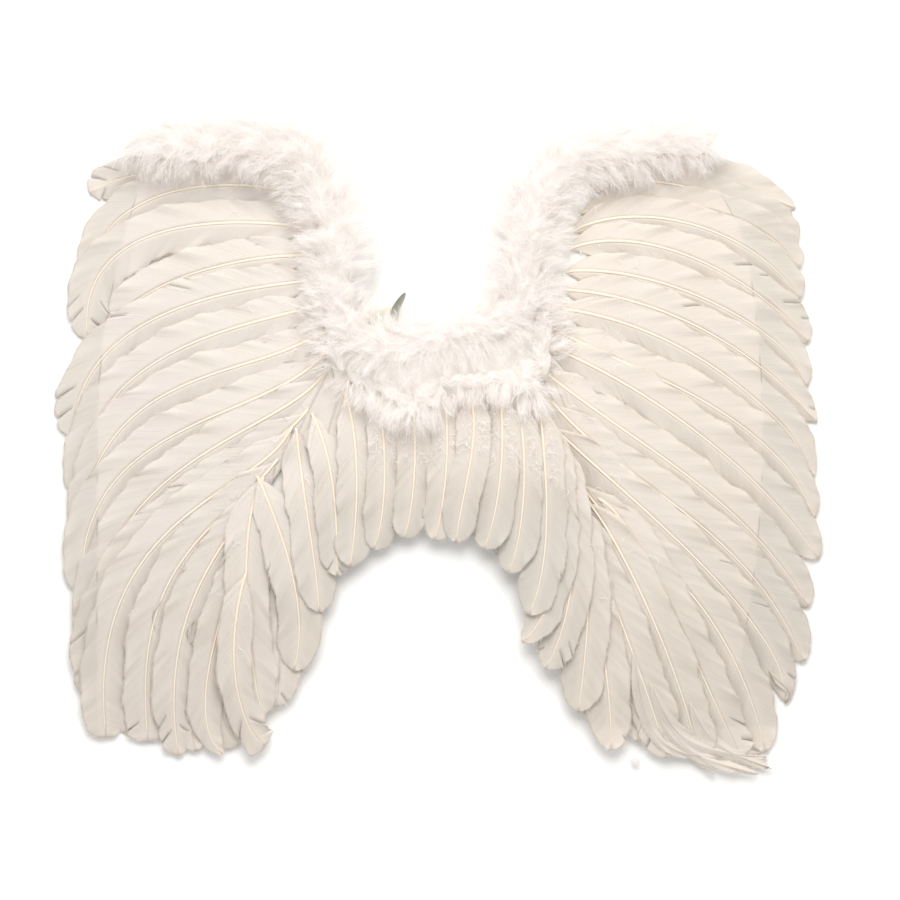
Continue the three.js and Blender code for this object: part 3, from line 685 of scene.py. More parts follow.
UNDER = [
    Feather((-0.252, 0.606), (-0.27, 0.564), (-0.301, 0.504), (-0.321, 0.445), 0.9),
    Feather((-0.29, 0.616), (-0.321, 0.576), (-0.368, 0.522), (-0.399, 0.472), 0.9),
    Feather((-0.208, 0.587), (-0.226, 0.542), (-0.249, 0.482), (-0.259, 0.422), 0.9),
    Feather((0.272, 0.624), (0.303, 0.572), (0.342, 0.519), (0.381, 0.467), 0.9),
    Feather((0.252, 0.579), (0.275, 0.534), (0.293, 0.482), (0.303, 0.43), 0.9),
    Feather((-0.5, 0.43), (-0.62, 0.34), (-0.77, 0.225), (-0.822, 0.066), 1.0, Tip.ROUND, 1.3),
    Feather((-0.45, 0.45), (-0.6, 0.35), (-0.708, 0.235), (-0.728, 0.055), 1.0, Tip.ROUND, 1.3),
    Feather((-0.47, 0.4), (-0.575, 0.3), (-0.65, 0.175), (-0.64, 0.04), 1.0, Tip.SPLIT, 1.3),
    Feather((-0.49, 0.35), (-0.545, 0.25), (-0.575, 0.13), (-0.53, 0.05), 1.0, Tip.ROUND, 1.3),
    Feather((-0.45, 0.42), (-0.44, 0.33), (-0.425, 0.22), (-0.43, 0.108), 0.95, Tip.ROUND, 1.0),
    Feather((0.36, 0.4), (0.43, 0.31), (0.49, 0.17), (0.51, 0.055), 1.0, Tip.ROUND, 1.0),
    Feather((0.37, 0.42), (0.44, 0.33), (0.54, 0.19), (0.62, 0.045), 1.0, Tip.ROUND, 1.0),
    Feather((0.33, 0.42), (0.36, 0.33), (0.4, 0.2), (0.39, 0.085), 1.0, Tip.ROUND, 1.0),
    Feather((-0.12, 0.56), (-0.11, 0.49), (-0.12, 0.42), (-0.139, 0.364), 0.72),
    Feather((-0.04, 0.57), (-0.03, 0.49), (-0.04, 0.42), (-0.06, 0.37), 0.72),
    Feather((0.036, 0.575), (0.045, 0.5), (0.03, 0.42), (0.006, 0.37), 0.72),
    Feather((0.11, 0.575), (0.116, 0.5), (0.1, 0.42), (0.071, 0.362), 0.75),
    Feather((0.17, 0.57), (0.18, 0.49), (0.172, 0.4), (0.138, 0.335), 0.78),
]
SWEPT = [
    Feather((0.492, 0.191), (0.515, 0.116), (0.561, 0.06), (0.677, 0.031), 0.36, Tip.STRAND),
    Feather((0.535, 0.146), (0.592, 0.079), (0.677, 0.045), (0.84, 0.031), 0.46, Tip.STRAND),
    Feather((0.639, 0.116), (0.695, 0.06), (0.763, 0.034), (0.848, 0.015), 0.4, Tip.STRAND),
    Feather((0.548, 0.116), (0.6, 0.057), (0.69, 0.027), (0.819, 0.006), 0.3, Tip.STRAND),
    Feather((0.64, 0.031), (0.665, 0.022), (0.69, 0.012), (0.706, 0.005), 0.07, Tip.STRAND),
    Feather((0.845, 0.161), (0.884, 0.14), (0.902, 0.128), (0.892, 0.112), 0.2, Tip.STRAND),
    Feather((-0.729, 0.266), (-0.742, 0.254), (-0.75, 0.243), (-0.748, 0.228), 0.2, Tip.STRAND),
    Feather((-0.64, 0.236), (-0.655, 0.228), (-0.662, 0.215), (-0.652, 0.203), 0.16, Tip.STRAND),
]


@dataclass
class ShaftLine:
    """A cubic curve through a feather's four places, walked by share of its length."""

    feather: Feather
    layout: Layout
    hook: float = 0.0
    points: np.ndarray = field(init=False)
    length: float = field(init=False)
    walked: np.ndarray = field(init=False)

    def __post_init__(self) -> None:
        """Sample the curve densely."""
        root, a, b, tip = (self.layout.place(p) for p in (
            self.feather.root, self.feather.a, self.feather.b, self.feather.tip))
        first = -5 / 6 * root + 3 * a - 1.5 * b + tip / 3
        second = -5 / 6 * tip + 3 * b - 1.5 * a + root / 3
        t = np.linspace(0, 1, 241)[:, None]
        line = (1 - t) ** 3 * root + 3 * (1 - t) ** 2 * t * first + 3 * (1 - t) * t**2 * second + t**3 * tip
        if self.hook:
            along = np.gradient(line, axis=0)
            along /= np.linalg.norm(along, axis=1)[:, None]
            side = np.stack([-along[:, 1], along[:, 0]], axis=1)
            line = line + side * self.hook * np.clip((t - 0.82) / 0.18, 0, 1) ** 2
        self.points = line
        steps = np.linalg.norm(np.diff(line, axis=0), axis=1)
        self.walked = np.concatenate([[0], np.cumsum(steps)])
        self.length = float(self.walked[-1])

    def at(self, share: np.ndarray) -> tuple[np.ndarray, np.ndarray]:
        """Walk the line.

        Args:
            share: shares of the length, also a little under 0 or over 1.

        Returns:
            The places and the unit sides, to the left of the way from root to tip.
        """
        within = np.clip(share, 0, 1)
        held = within * self.length
        place = np.stack([np.interp(held, self.walked, self.points[:, k]) for k in (0, 1)], axis=-1)
        ahead = np.clip(within + 0.01, 0, 1) * self.length
        behind = np.clip(within - 0.01, 0, 1) * self.length
        way = np.stack([
            np.interp(ahead, self.walked, self.points[:, k]) - np.interp(behind, self.walked, self.points[:, k])
            for k in (0, 1)
        ], axis=-1)
        way /= np.linalg.norm(way, axis=-1)[..., None]
        place = place + way * ((share - within) * self.length)[..., None]
        return place, np.stack([-way[..., 1], way[..., 0]], axis=-1)


def surface_of(*nodes: str) -> BVHTree:
    """Return a search tree over the solids of some nodes."""
    corners: list[tuple[float, float, float]] = []
    faces: list[tuple[int, ...]] = []
    for node in nodes:
        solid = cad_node(node).data
        first = len(corners)
        corners += [tuple(corner.co) for corner in solid.vertices]
        faces += [tuple(corner + first for corner in face.vertices) for face in solid.polygons]
    return BVHTree.FromPolygons(corners, faces)


@dataclass
class Seat:
    """The height and lean of what lies under a feather along its shaft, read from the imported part.

    A feather's own solid gives its seat, and a feather without one is draped over the solids it crosses.
    """

    surface: BVHTree
    line: ShaftLine
    width: float
    draped: bool = False
    lift: float = 0.0
    shares: np.ndarray = field(init=False)
    level: np.ndarray = field(init=False)
    lean: np.ndarray = field(init=False)

    SOLID_AT = (0, 0.07, 0.16, 0.3, 0.45, 0.6, 0.74, 0.86, 0.94, 1)
    SOLID_WIDE = (0, 0.12, 0.62, 0.92, 1, 1, 0.97, 0.88, 0.66, 0.2)

    def __post_init__(self) -> None:
        """Drop plumb lines on the solids either side of the shaft."""
        self.shares = np.linspace(0.02, 0.985, 30)
        places, sides = self.line.at(self.shares)
        wide = np.ones(30) if self.draped else np.interp(self.shares, self.SOLID_AT, self.SOLID_WIDE)
        half = np.maximum(QUILL_WIDTH, self.width * wide) / 2
        tops = [np.array([self._top(spot) for spot in places + sides * (way * half)[:, None]]) for way in (-0.72, 0.72)]
        level = np.fmax(*tops) if self.draped else (tops[0] + tops[1]) / 2
        lean = np.zeros(30) if self.draped else (tops[1] - tops[0]) / (1.44 * half)
        good = np.isfinite(level)
        level = np.interp(self.shares, self.shares[good], level[good]) + self.lift
        self.level = smoothed(level, 6 if self.draped else 3)
        self.lean = smoothed(np.interp(self.shares, self.shares[good], lean[good]), 4)

    def _top(self, spot: np.ndarray) -> float:
        """Return the height of the upper face at a place, or nan beside it."""
        hit = self.surface.ray_cast(Vector((spot[0], spot[1], 0.3)), Vector((0, 0, -1)))
        return hit[0].z if hit[0] else math.nan

    def height(self, share: np.ndarray, aside: np.ndarray) -> np.ndarray:
        """Return the seat's height at shares of the length and distances to the left of the shaft."""
        level = np.interp(share, self.shares, self.level)
        return level + np.interp(share, self.shares, self.lean) * aside


_NODES: dict[str, bpy.types.Object] = {}


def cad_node(name: str) -> bpy.types.Object:
    """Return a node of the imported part."""
    return _NODES[name]


@dataclass(frozen=True)
class Split:
    """A place where barbs part: where on the shaft, how wide at the edge, from where, and the step in height."""

    place: float
    opening: float
    depth: float
    step: float


@dataclass
class FeatherMaker:
    """Builds one feather: two vanes whose barbs part at the splits, and a tapered shaft."""

    name: str
    feather: Feather
    layout: Layout
    finishes: Finishes
    seed: int
    drape: BVHTree | None = None
    lift: float = 0.0
    rows: int = 10
    cell: float = 0.0046
    splits_mean: float = 0.28
    slant: float = 1.35
    ridge: float = 0.0023
    wavy: float = 0.0034
    droop: float = 0.0012
    thick: float = 0.00015
    quill_radius: float = 0.0014
    tip_radius: float = 0.00045
    shafted: bool = True

    ENVELOPE_AT = (0, 0.04, 0.1, 0.18, 0.32, 0.46, 0.6, 0.74, 0.84, 0.9, 0.945, 0.975, 1.0)
    ENVELOPE_WIDE = (0.3, 0.62, 0.8, 0.9, 0.97, 1.0, 1.02, 1.01, 0.97, 0.89, 0.74, 0.53, 0.1)

    def __post_init__(self) -> None:
        """Prepare the line, the seat and the draw."""
        self.draw = np.random.default_rng(self.seed)
        self.phase = float(self.draw.uniform(0, 2 * math.pi))
        self.rims: list[tuple[np.ndarray, np.ndarray]] = []
        self.bases: list[tuple[np.ndarray, np.ndarray]] = []
        hook = {Tip.HOOKED: 0.008, Tip.FAN: 0.003}.get(self.feather.end, 0.0)
        outward = -1.0 if self.feather.root[0] > 0 else 1.0
        self.line = ShaftLine(self.feather, self.layout, hook * outward)
        plain = ShaftLine(self.feather, self.layout)
        width = FEATHER_WIDTH * self.feather.width
        surface = self.drape or surface_of(self.name)
        self.seat = Seat(surface, plain, width, self.drape is not None, self.lift)

    def half(self, share: np.ndarray) -> np.ndarray:
        """Return the vane's half width at shares of the length."""
        at = np.array(self.ENVELOPE_AT)
        wide = np.array(self.ENVELOPE_WIDE)
        if self.feather.end is Tip.POINTED:
            wide = wide * np.interp(at, [0, 0.7, 0.95, 1], [1, 1, 0.62, 0.5])
        if self.feather.end is Tip.HOOKED:
            wide = wide * np.interp(at, [0, 0.8, 0.95, 1], [1, 1, 0.72, 0.6])
        if self.feather.end is Tip.BLUNT:
            wide = wide * np.interp(at, [0, 0.85, 0.97, 1], [1, 1, 1.2, 3.5])
        if self.feather.end is Tip.FAN:
            wide = wide * np.interp(at, [0, 0.8, 0.96, 1], [1, 0.92, 1.15, 3.0])
        if self.feather.end is Tip.STRAND:
            wide = wide * np.interp(at, [0, 0.3, 0.7, 1], [0.5, 1, 0.8, 0.5])
        return FEATHER_WIDTH * self.feather.width / 2 * np.interp(share, at, wide)

    def _splits(self) -> list[Split]:
        """Return the splits of one vane, in order."""
        wear_and_shade = self.feather.wear_and_shade
        found = [
            Split(
                self.draw.uniform(0.2, 0.93), self.draw.uniform(0.0002, 0.0007) * wear_and_shade,
                self.draw.uniform(0.55, 0.9), self.draw.uniform(-0.0001, 0.0003),
            )
            for _ in range(self.draw.poisson(self.splits_mean * wear_and_shade))
        ]
        found += [
            Split(self.draw.uniform(0.82, 0.95), self.draw.uniform(0.0012, 0.0026), self.draw.uniform(0.2, 0.6), 0.0004)
            for _ in range(self.draw.poisson(0.18 * wear_and_shade))
        ]
        if self.feather.end is Tip.SPLIT:
            found.append(Split(self.draw.uniform(0.88, 0.93), 0.0026, 0.25, 0.0002))
            found.append(Split(self.draw.uniform(0.8, 0.84), 0.001, 0.5, 0.0001))
        if self.feather.end is Tip.STRAND:
            found = []
        if self.feather.end is Tip.FAN:
            found.append(Split(0.8, 0.003, 0.3, 0.0003))
        found.sort(key=lambda split: split.place)
        kept: list[Split] = []
        for split in found:
            if not kept or split.place - kept[-1].place > 0.04:
                kept.append(split)
        return kept

    def _wave(self, run: np.ndarray) -> np.ndarray:
        """Return the vane's slow waves, from 0 to 1, along a distance in metres."""
        total = np.zeros_like(run)
        for length, share in ((0.083, 0.45), (0.041, 0.33), (0.019, 0.22)):
            total = total + share * np.sin(2 * math.pi * run / length + self.phase * length * 900)
        return 0.5 + 0.5 * total

    def _columns(self, splits: list[Split]) -> tuple[np.ndarray, np.ndarray]:
        """Return where barbs leave the shaft, twice at each split, and on which side of a split each is."""
        length = self.line.length
        plain = np.linspace(0, 1, round(length / self.cell) + 1)
        for split in splits:
            plain = plain[abs(plain - split.place) > 0.45 * self.cell / length]
        pairs = [(float(place), 0.0) for place in plain]
        pairs += [(split.place, way) for split in splits for way in (-1.0, 1.0)]
        pairs.sort()
        return np.array([place for place, _ in pairs]), np.array([way for _, way in pairs])

    def _vane(self, shell: Shell, side: float) -> None:
        """Add one vane.

        Args:
            shell: the mesh to add to.
            side: 1 to the left of the shaft, -1 to the right.
        """
        splits = self._splits()
        start, way = self._columns(splits)
        length = self.line.length
        v = np.linspace(0, 1, self.rows)[:, None] ** 0.8
        leaves = np.broadcast_to(start, (self.rows, len(start)))
        widest = FEATHER_WIDTH * self.feather.width / 2
        ribbon = self.feather.end is Tip.STRAND
        slant = self.slant * (2.4 if ribbon else 1.0)
        ends_at = leaves + slant * widest / length * (1 - leaves**6)
        run = leaves * length
        part, step = np.zeros_like(run), np.zeros_like(run)
        ragged = self.draw.normal(0, 0.006, len(start)) * v + smoothed(self.draw.normal(0, 0.05, len(start)), 2) * v**2
        stretch = 1 + 0.22 * (self._wave(run + 0.02 * side) - 0.5) + (0 if ribbon else 1) * ragged
        for split in splits:
            which = np.where(start == split.place, way, np.sign(start - split.place))
            near = np.exp(-abs(start - split.place) * length / 0.007)
            outside = np.clip((v - split.depth) / (1 - split.depth), 0, 1) ** 1.3
            part = part + which * near * split.opening / 2 * outside
            step = step + which * near * split.step * outside
            stretch = stretch - 20.0 * split.opening * near**3 * outside
        share = leaves + (ends_at - leaves) * v**1.2 + part / length
        aside = v * self.half(ends_at) * stretch
        place, sides = self.line.at(share)
        ground = place + sides * (side * aside)[..., None]
        curl = np.clip(self._wave(run * 1.3 + 0.05 * side) * 1.9 - 0.75, 0, 1)
        height = self.seat.height(share, side * aside) + step
        height = height + self.ridge * (1 - v) ** 1.7 * np.interp(leaves, [0, 0.15, 0.9, 1], [0.4, 1, 0.8, 0.3])
        height = np.maximum(height + self.wavy * curl * v**2.2 - self.droop * v**3, 0.0006)
        top = np.concatenate([ground, height[..., None]], axis=-1)
        uv = np.stack([0.3 * side * aside, run] if ribbon else [run, side * aside], axis=-1)
        self._knit(shell, top, uv, side, way, v[:, 0], splits)

    def _knit(
        self, shell: Shell, top: np.ndarray, uv: np.ndarray, side: float, way: np.ndarray, v: np.ndarray,
        splits: list[Split],
    ) -> None:
        """Join a vane's grid into one closed sheet, open only at its splits.

        Args:
            shell: the mesh to add to.
            top: the grid's places, by row and column.
            uv: the grid's UVs.
            side: 1 to the left of the shaft, -1 to the right.
            way: which side of a split each column is on, 0 for a plain column.
            v: each row's share of the vane's width.
            splits: the splits, in order.
        """
        rows, columns = top.shape[:2]
        index = np.arange(rows * columns).reshape(rows, columns)
        twins = [n for n in range(columns - 1) if way[n] < 0]
        for n, split in zip(twins, splits):
            shared = v <= split.depth
            index[shared, n + 1] = index[shared, n]
        faces = [
            (int(index[r, c]), int(index[r, c + 1]), int(index[r + 1, c + 1]), int(index[r + 1, c]))
            for r in range(rows - 1) for c in range(columns - 1) if way[c] >= 0
        ]
        if side > 0:
            faces = [tuple(reversed(face)) for face in faces]
        corners, uvs, closed, rim = thin_sheet(top.reshape(-1, 3), uv.reshape(-1, 2), faces, self.thick)
        shell.add(corners, uvs, closed, 0, rim)
        for first, last in zip([0] + [n + 1 for n in twins], [n + 1 for n in twins] + [columns]):
            if last - first > 1:
                self.rims.append((top[-1, first:last], top[-1, first:last] - top[-2, first:last]))
        low, high = columns // 40, max(3, round(columns * min(0.4, 0.055 / self.line.length)))
        barbs = top[4, low:high] - top[1, low:high]
        self.bases.append((top[2, low:high] + [0, 0, 0.0004], barbs))

    def _shaft(self, shell: Shell) -> None:
        """Add the tapered shaft, from the bare quill to just short of the tip."""
        around, rings = 6, 44
        share = np.linspace(-0.012, 0.985, rings)
        place, sides = self.line.at(share)
        radius = np.interp(share, [-0.02, 0.1, 0.5, 1], [
            self.quill_radius, self.quill_radius, self.quill_radius * 0.68, self.tip_radius])
        height = self.seat.height(share, np.zeros_like(share)) - 0.2 * radius
        height = height + self.ridge * np.interp(share, [0, 0.15, 0.9, 1], [0.4, 1, 0.8, 0.3])
        turn = np.linspace(0, 2 * math.pi, around, endpoint=False)
        ring = np.stack([np.cos(turn), np.sin(turn)], axis=-1)
        corners = np.zeros((rings, around, 3))
        corners[..., :2] = place[:, None] + sides[:, None] * (ring[None, :, :1] * radius[:, None, None])
        corners[..., 2] = height[:, None] + ring[None, :, 1] * radius[:, None] * 0.5
        uv = np.zeros((rings, around, 2))
        uv[..., 0] = (share * self.line.length)[:, None]
        shell.add(corners.reshape(-1, 3), uv.reshape(-1, 2), tube_faces(rings, around), 1)

    def build(self) -> bpy.types.Object:
        """Make the feather, riding on the part and standing for its solid.

        Returns:
            The finished piece.
        """
        shell = Shell()
        for side in (1.0, -1.0):
            self._vane(shell, side)
        if self.shafted and self.feather.end is not Tip.STRAND:
            self._shaft(shell)
        piece = shell.mesh(f"feather_{self.name}", [self.finishes.vane, self.finishes.shaft])
        settle(piece, "vane", *([] if self.drape else [self.name]))
        return piece


def settle(piece: bpy.types.Object, slot: str, *nodes: str) -> None:
    """Let a piece ride on the part and hide the nodes it stands for."""
    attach(piece, BODY)
    if nodes:
        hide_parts(*nodes)


# Loose barbs and threads


@dataclass(frozen=True)
class Strand:
    """A strand to plant: its shape, how closely it stands, its length and how much it strays."""

    name: str
    spacing: float
    reach: float
    stray: tuple[float, float, float]
    rise: float
    turns: float = 0.0
    cells: int = 2
    wide: float = 0.16
    slot: str = "vane"

    def shape(self) -> bpy.types.Object:
        """Make the strand as a thin blade along +Y of length 1, wound if it has turns.

        Returns:
            An object outside the scene.
        """
        corners: list[tuple[float, float, float]] = []
        start = -0.5 if self.turns == 0 else 0.0
        for t in np.linspace(0, 1, self.cells + 1)[:-1]:
            angle = 2 * math.pi * self.turns * t
            bend = 0.13 * self.turns * math.sin(angle)
            lift = 0.13 * self.turns * (1 - math.cos(angle)) + 0.05 * t
            half = self.wide / 2 * (1 - 0.6 * t)
            y = start + (1 - start) * t
            corners += [(bend - half, y, lift), (bend + half, y, lift)]
        faces: list[tuple[int, ...]] = [(2 * n, 2 * n + 1, 2 * n + 3, 2 * n + 2) for n in range(self.cells - 1)]
        corners.append((0.12, 1.05, 0.0))
        faces.append((2 * self.cells - 2, 2 * self.cells - 1, 2 * self.cells))
        made = bpy.data.meshes.new(self.name)
        made.from_pydata(corners, [], faces)
        layer = made.attributes.new("reach", "FLOAT", "POINT")
        layer.data.foreach_set("value", np.ones(len(corners), dtype=np.float32))
        return bpy.data.objects.new(self.name, made)


@dataclass
class StrandTree:
    """The node tree that plants strands along lines."""

    strand: Strand
    material: bpy.types.Material
    tree: bpy.types.NodeTree = field(init=False)

    def __post_init__(self) -> None:
        """Build the tree."""
        self.blade = self.strand.shape()
        self.tree = bpy.data.node_groups.new(f"planted_{self.strand.name}", "GeometryNodeTree")
        face = self.tree.interface
        face.new_socket("Lines", in_out="INPUT", socket_type="NodeSocketGeometry")
        for name, value in (("Spacing", self.strand.spacing), ("Reach", self.strand.reach)):
            face.new_socket(name, in_out="INPUT", socket_type="NodeSocketFloat").default_value = value
        face.new_socket("Seed", in_out="INPUT", socket_type="NodeSocketInt").default_value = 1
        face.new_socket("Strands", in_out="OUTPUT", socket_type="NodeSocketGeometry")
        tree = Tree(self.tree)
        given = tree.node("NodeGroupInput").socket.node.outputs
        lines, spacing, reach, seed = (Wire(tree, given[name]) for name in ("Lines", "Spacing", "Reach", "Seed"))
        curves = tree.node("GeometryNodeMeshToCurve", {}, {0: lines})
        even = tree.node("GeometryNodeResampleCurve", {"mode": "LENGTH"}, {"Curve": curves, "Length": spacing})
        barb = tree.node("GeometryNodeInputNamedAttribute", {"data_type": "FLOAT_VECTOR"}, {"Name": "barb"})
        x, y, z = self.strand.stray
        stray = tree.node(
            "FunctionNodeRandomValue", {"data_type": "FLOAT_VECTOR"},
            {0: (-x, -y, self.strand.rise - z), 1: (x, y, self.strand.rise + z), "Seed": seed},
        )
        way = tree.node("ShaderNodeVectorMath", {"operation": "ADD"}, {0: barb, 1: stray})
        aimed = tree.node("FunctionNodeAlignRotationToVector", {"axis": "Y"}, {"Vector": way})
        if self.strand.turns:
            angle = tree.node("FunctionNodeRandomValue", {"data_type": "FLOAT"}, {2: -3.14, 3: 3.14, "Seed": 17}, 1)
            spin = tree.node("FunctionNodeAxisAngleToRotation", {}, {"Axis": (0.0, 1.0, 0.0), "Angle": angle})
            aimed = tree.node(
                "FunctionNodeRotateRotation", {"rotation_space": "LOCAL"}, {"Rotation": aimed, "Rotate By": spin}
            )
        size = tree.node("FunctionNodeRandomValue", {"data_type": "FLOAT"}, {2: 0.4, 3: 1.15, "Seed": seed}, 1)
        single = tree.node("GeometryNodeObjectInfo", {}, {"Object": self.blade, "As Instance": True}, "Geometry")
        planted = tree.node(
            "GeometryNodeInstanceOnPoints", {},
            {"Points": even, "Instance": single, "Rotation": aimed, "Scale": size * reach},
        )
        real = tree.node("GeometryNodeRealizeInstances", {}, {0: planted})
        x, y, z = tree.parts(tree.node("GeometryNodeInputPosition"))
        held = tree.node("ShaderNodeMath", {"operation": "MAXIMUM"}, {0: z, 1: 0.0002})
        real = tree.node("GeometryNodeSetPosition", {}, {"Geometry": real, "Position": tree.vector(x, y, held)})
        painted = tree.node("GeometryNodeSetMaterial", {}, {"Geometry": real, "Material": self.material})
        tree.node("NodeGroupOutput", {}, {0: painted})

    def planted(
        self, name: str, lines: list[tuple[np.ndarray, np.ndarray]], seed: int, spacing: float | None = None
    ) -> bpy.types.Object:
        """Plant strands on lines and return a plain mesh.

        Args:
            name: the new piece's name.
            lines: for each line its places and the strands' directions there.
            seed: the draw.
            spacing: the distance between strands, if not the strand's own.

        Returns:
            The realised piece, riding on the part.
        """
        corners = np.concatenate([line for line, _ in lines])
        ways = np.concatenate([way / np.linalg.norm(way, axis=1)[:, None] for _, way in lines])
        edges: list[tuple[int, int]] = []
        count = 0
        for line, _ in lines:
            edges += [(count + n, count + n + 1) for n in range(len(line) - 1)]
            count += len(line)
        made = bpy.data.meshes.new(f"{name}_lines")
        made.from_pydata(corners.tolist(), edges, [])
        layer = made.attributes.new("barb", "FLOAT_VECTOR", "POINT")
        layer.data.foreach_set("vector", ways.astype(np.float32).ravel())
        body = linked(bpy.data.objects.new(f"{name}_lines", made))
        modifier = body.modifiers.new("strands", "NODES")
        modifier.node_group = self.tree
        sockets = {item.name: item.identifier for item in self.tree.interface.items_tree if item.in_out == "INPUT"}
        modifier[sockets["Seed"]] = seed
        modifier[sockets["Spacing"]] = spacing or self.strand.spacing
        view = bpy.context.evaluated_depsgraph_get()
        result = bpy.data.meshes.new_from_object(body.evaluated_get(view), depsgraph=view)
        result.name = name
        bpy.data.objects.remove(body)
        piece = linked(bpy.data.objects.new(name, result))
        settle(piece, self.strand.slot)
        return piece


LOOSE_BARB = Strand("loose_barb", 0.0013, 0.0028, (0.35, 0.35, 0.2), 0.08)
CURLY_THREAD = Strand("curly_thread", 0.001, 0.013, (0.9, 0.9, 0.35), 0.4, 1.3, 8, 0.055, "down")


# Marabou trim


@dataclass
class PlumeShape:
    """A small down plume: a bent stem with thin barbs all round it, of length 1."""

    seed: int
    barbs: int = 30
    barb_reach: float = 0.48
    barb_width: float = 0.0105

    def build(self) -> bpy.types.Object:
        """Make the plume as an object outside the scene.

        Returns:
            The object to be repeated.
        """
        draw = np.random.default_rng(self.seed)
        corners: list[tuple[float, float, float]] = []
        faces: list[tuple[int, ...]] = []
        reach: list[float] = []
        bend = draw.uniform(-0.25, 0.25, 2)

        def stem(t: float) -> np.ndarray:
            """Return the stem's place at a share of its length."""
            return np.array([bend[0] * t * t, bend[1] * t * t, t])

        def blade(points: Sequence[np.ndarray], wide: float, side: np.ndarray, reaches: Sequence[float]) -> None:
            """Add a thin tapering blade through three points."""
            first = len(corners)
            for point, share in zip(points[:2], (1.0, 0.75)):
                corners.append(tuple(point - side * wide * share / 2))
                corners.append(tuple(point + side * wide * share / 2))
            corners.append(tuple(points[2]))
            reach.extend([reaches[0], reaches[0], reaches[1], reaches[1], reaches[2]])
            faces.append((first, first + 1, first + 3, first + 2))
            faces.append((first + 2, first + 3, first + 4))

        blade([stem(0), stem(0.5), stem(1)], self.barb_width * 1.3, np.array([1.0, 0, 0]), (0, 0.5, 1))
        for n in range(self.barbs):
            t = 0.12 + 0.8 * (n + draw.random()) / self.barbs
            turn = draw.uniform(0, 2 * math.pi)
            out = np.array([math.cos(turn), math.sin(turn), 0])
            rise = draw.uniform(0.5, 1.1)
            start = stem(t)
            size = self.barb_reach * draw.uniform(0.7, 1.1) * (1.1 - 0.4 * t)
            middle = start + size * 0.5 * (out * 0.8 + np.array([0, 0, rise]))
            end = start + size * (out * 0.6 + np.array([0, 0, rise * 1.2]))
            side = np.cross(out, np.array([0, 0, 1.0]))
            blade([start, middle, end], self.barb_width, side, (t, min(1, t + 0.25), min(1, t + 0.45)))
        made = bpy.data.meshes.new(f"plume_{self.seed}")
        made.from_pydata(corners, [], faces)
        layer = made.attributes.new("reach", "FLOAT", "POINT")
        layer.data.foreach_set("value", np.array(reach, dtype=np.float32))
        return bpy.data.objects.new(f"plume_{self.seed}", made)


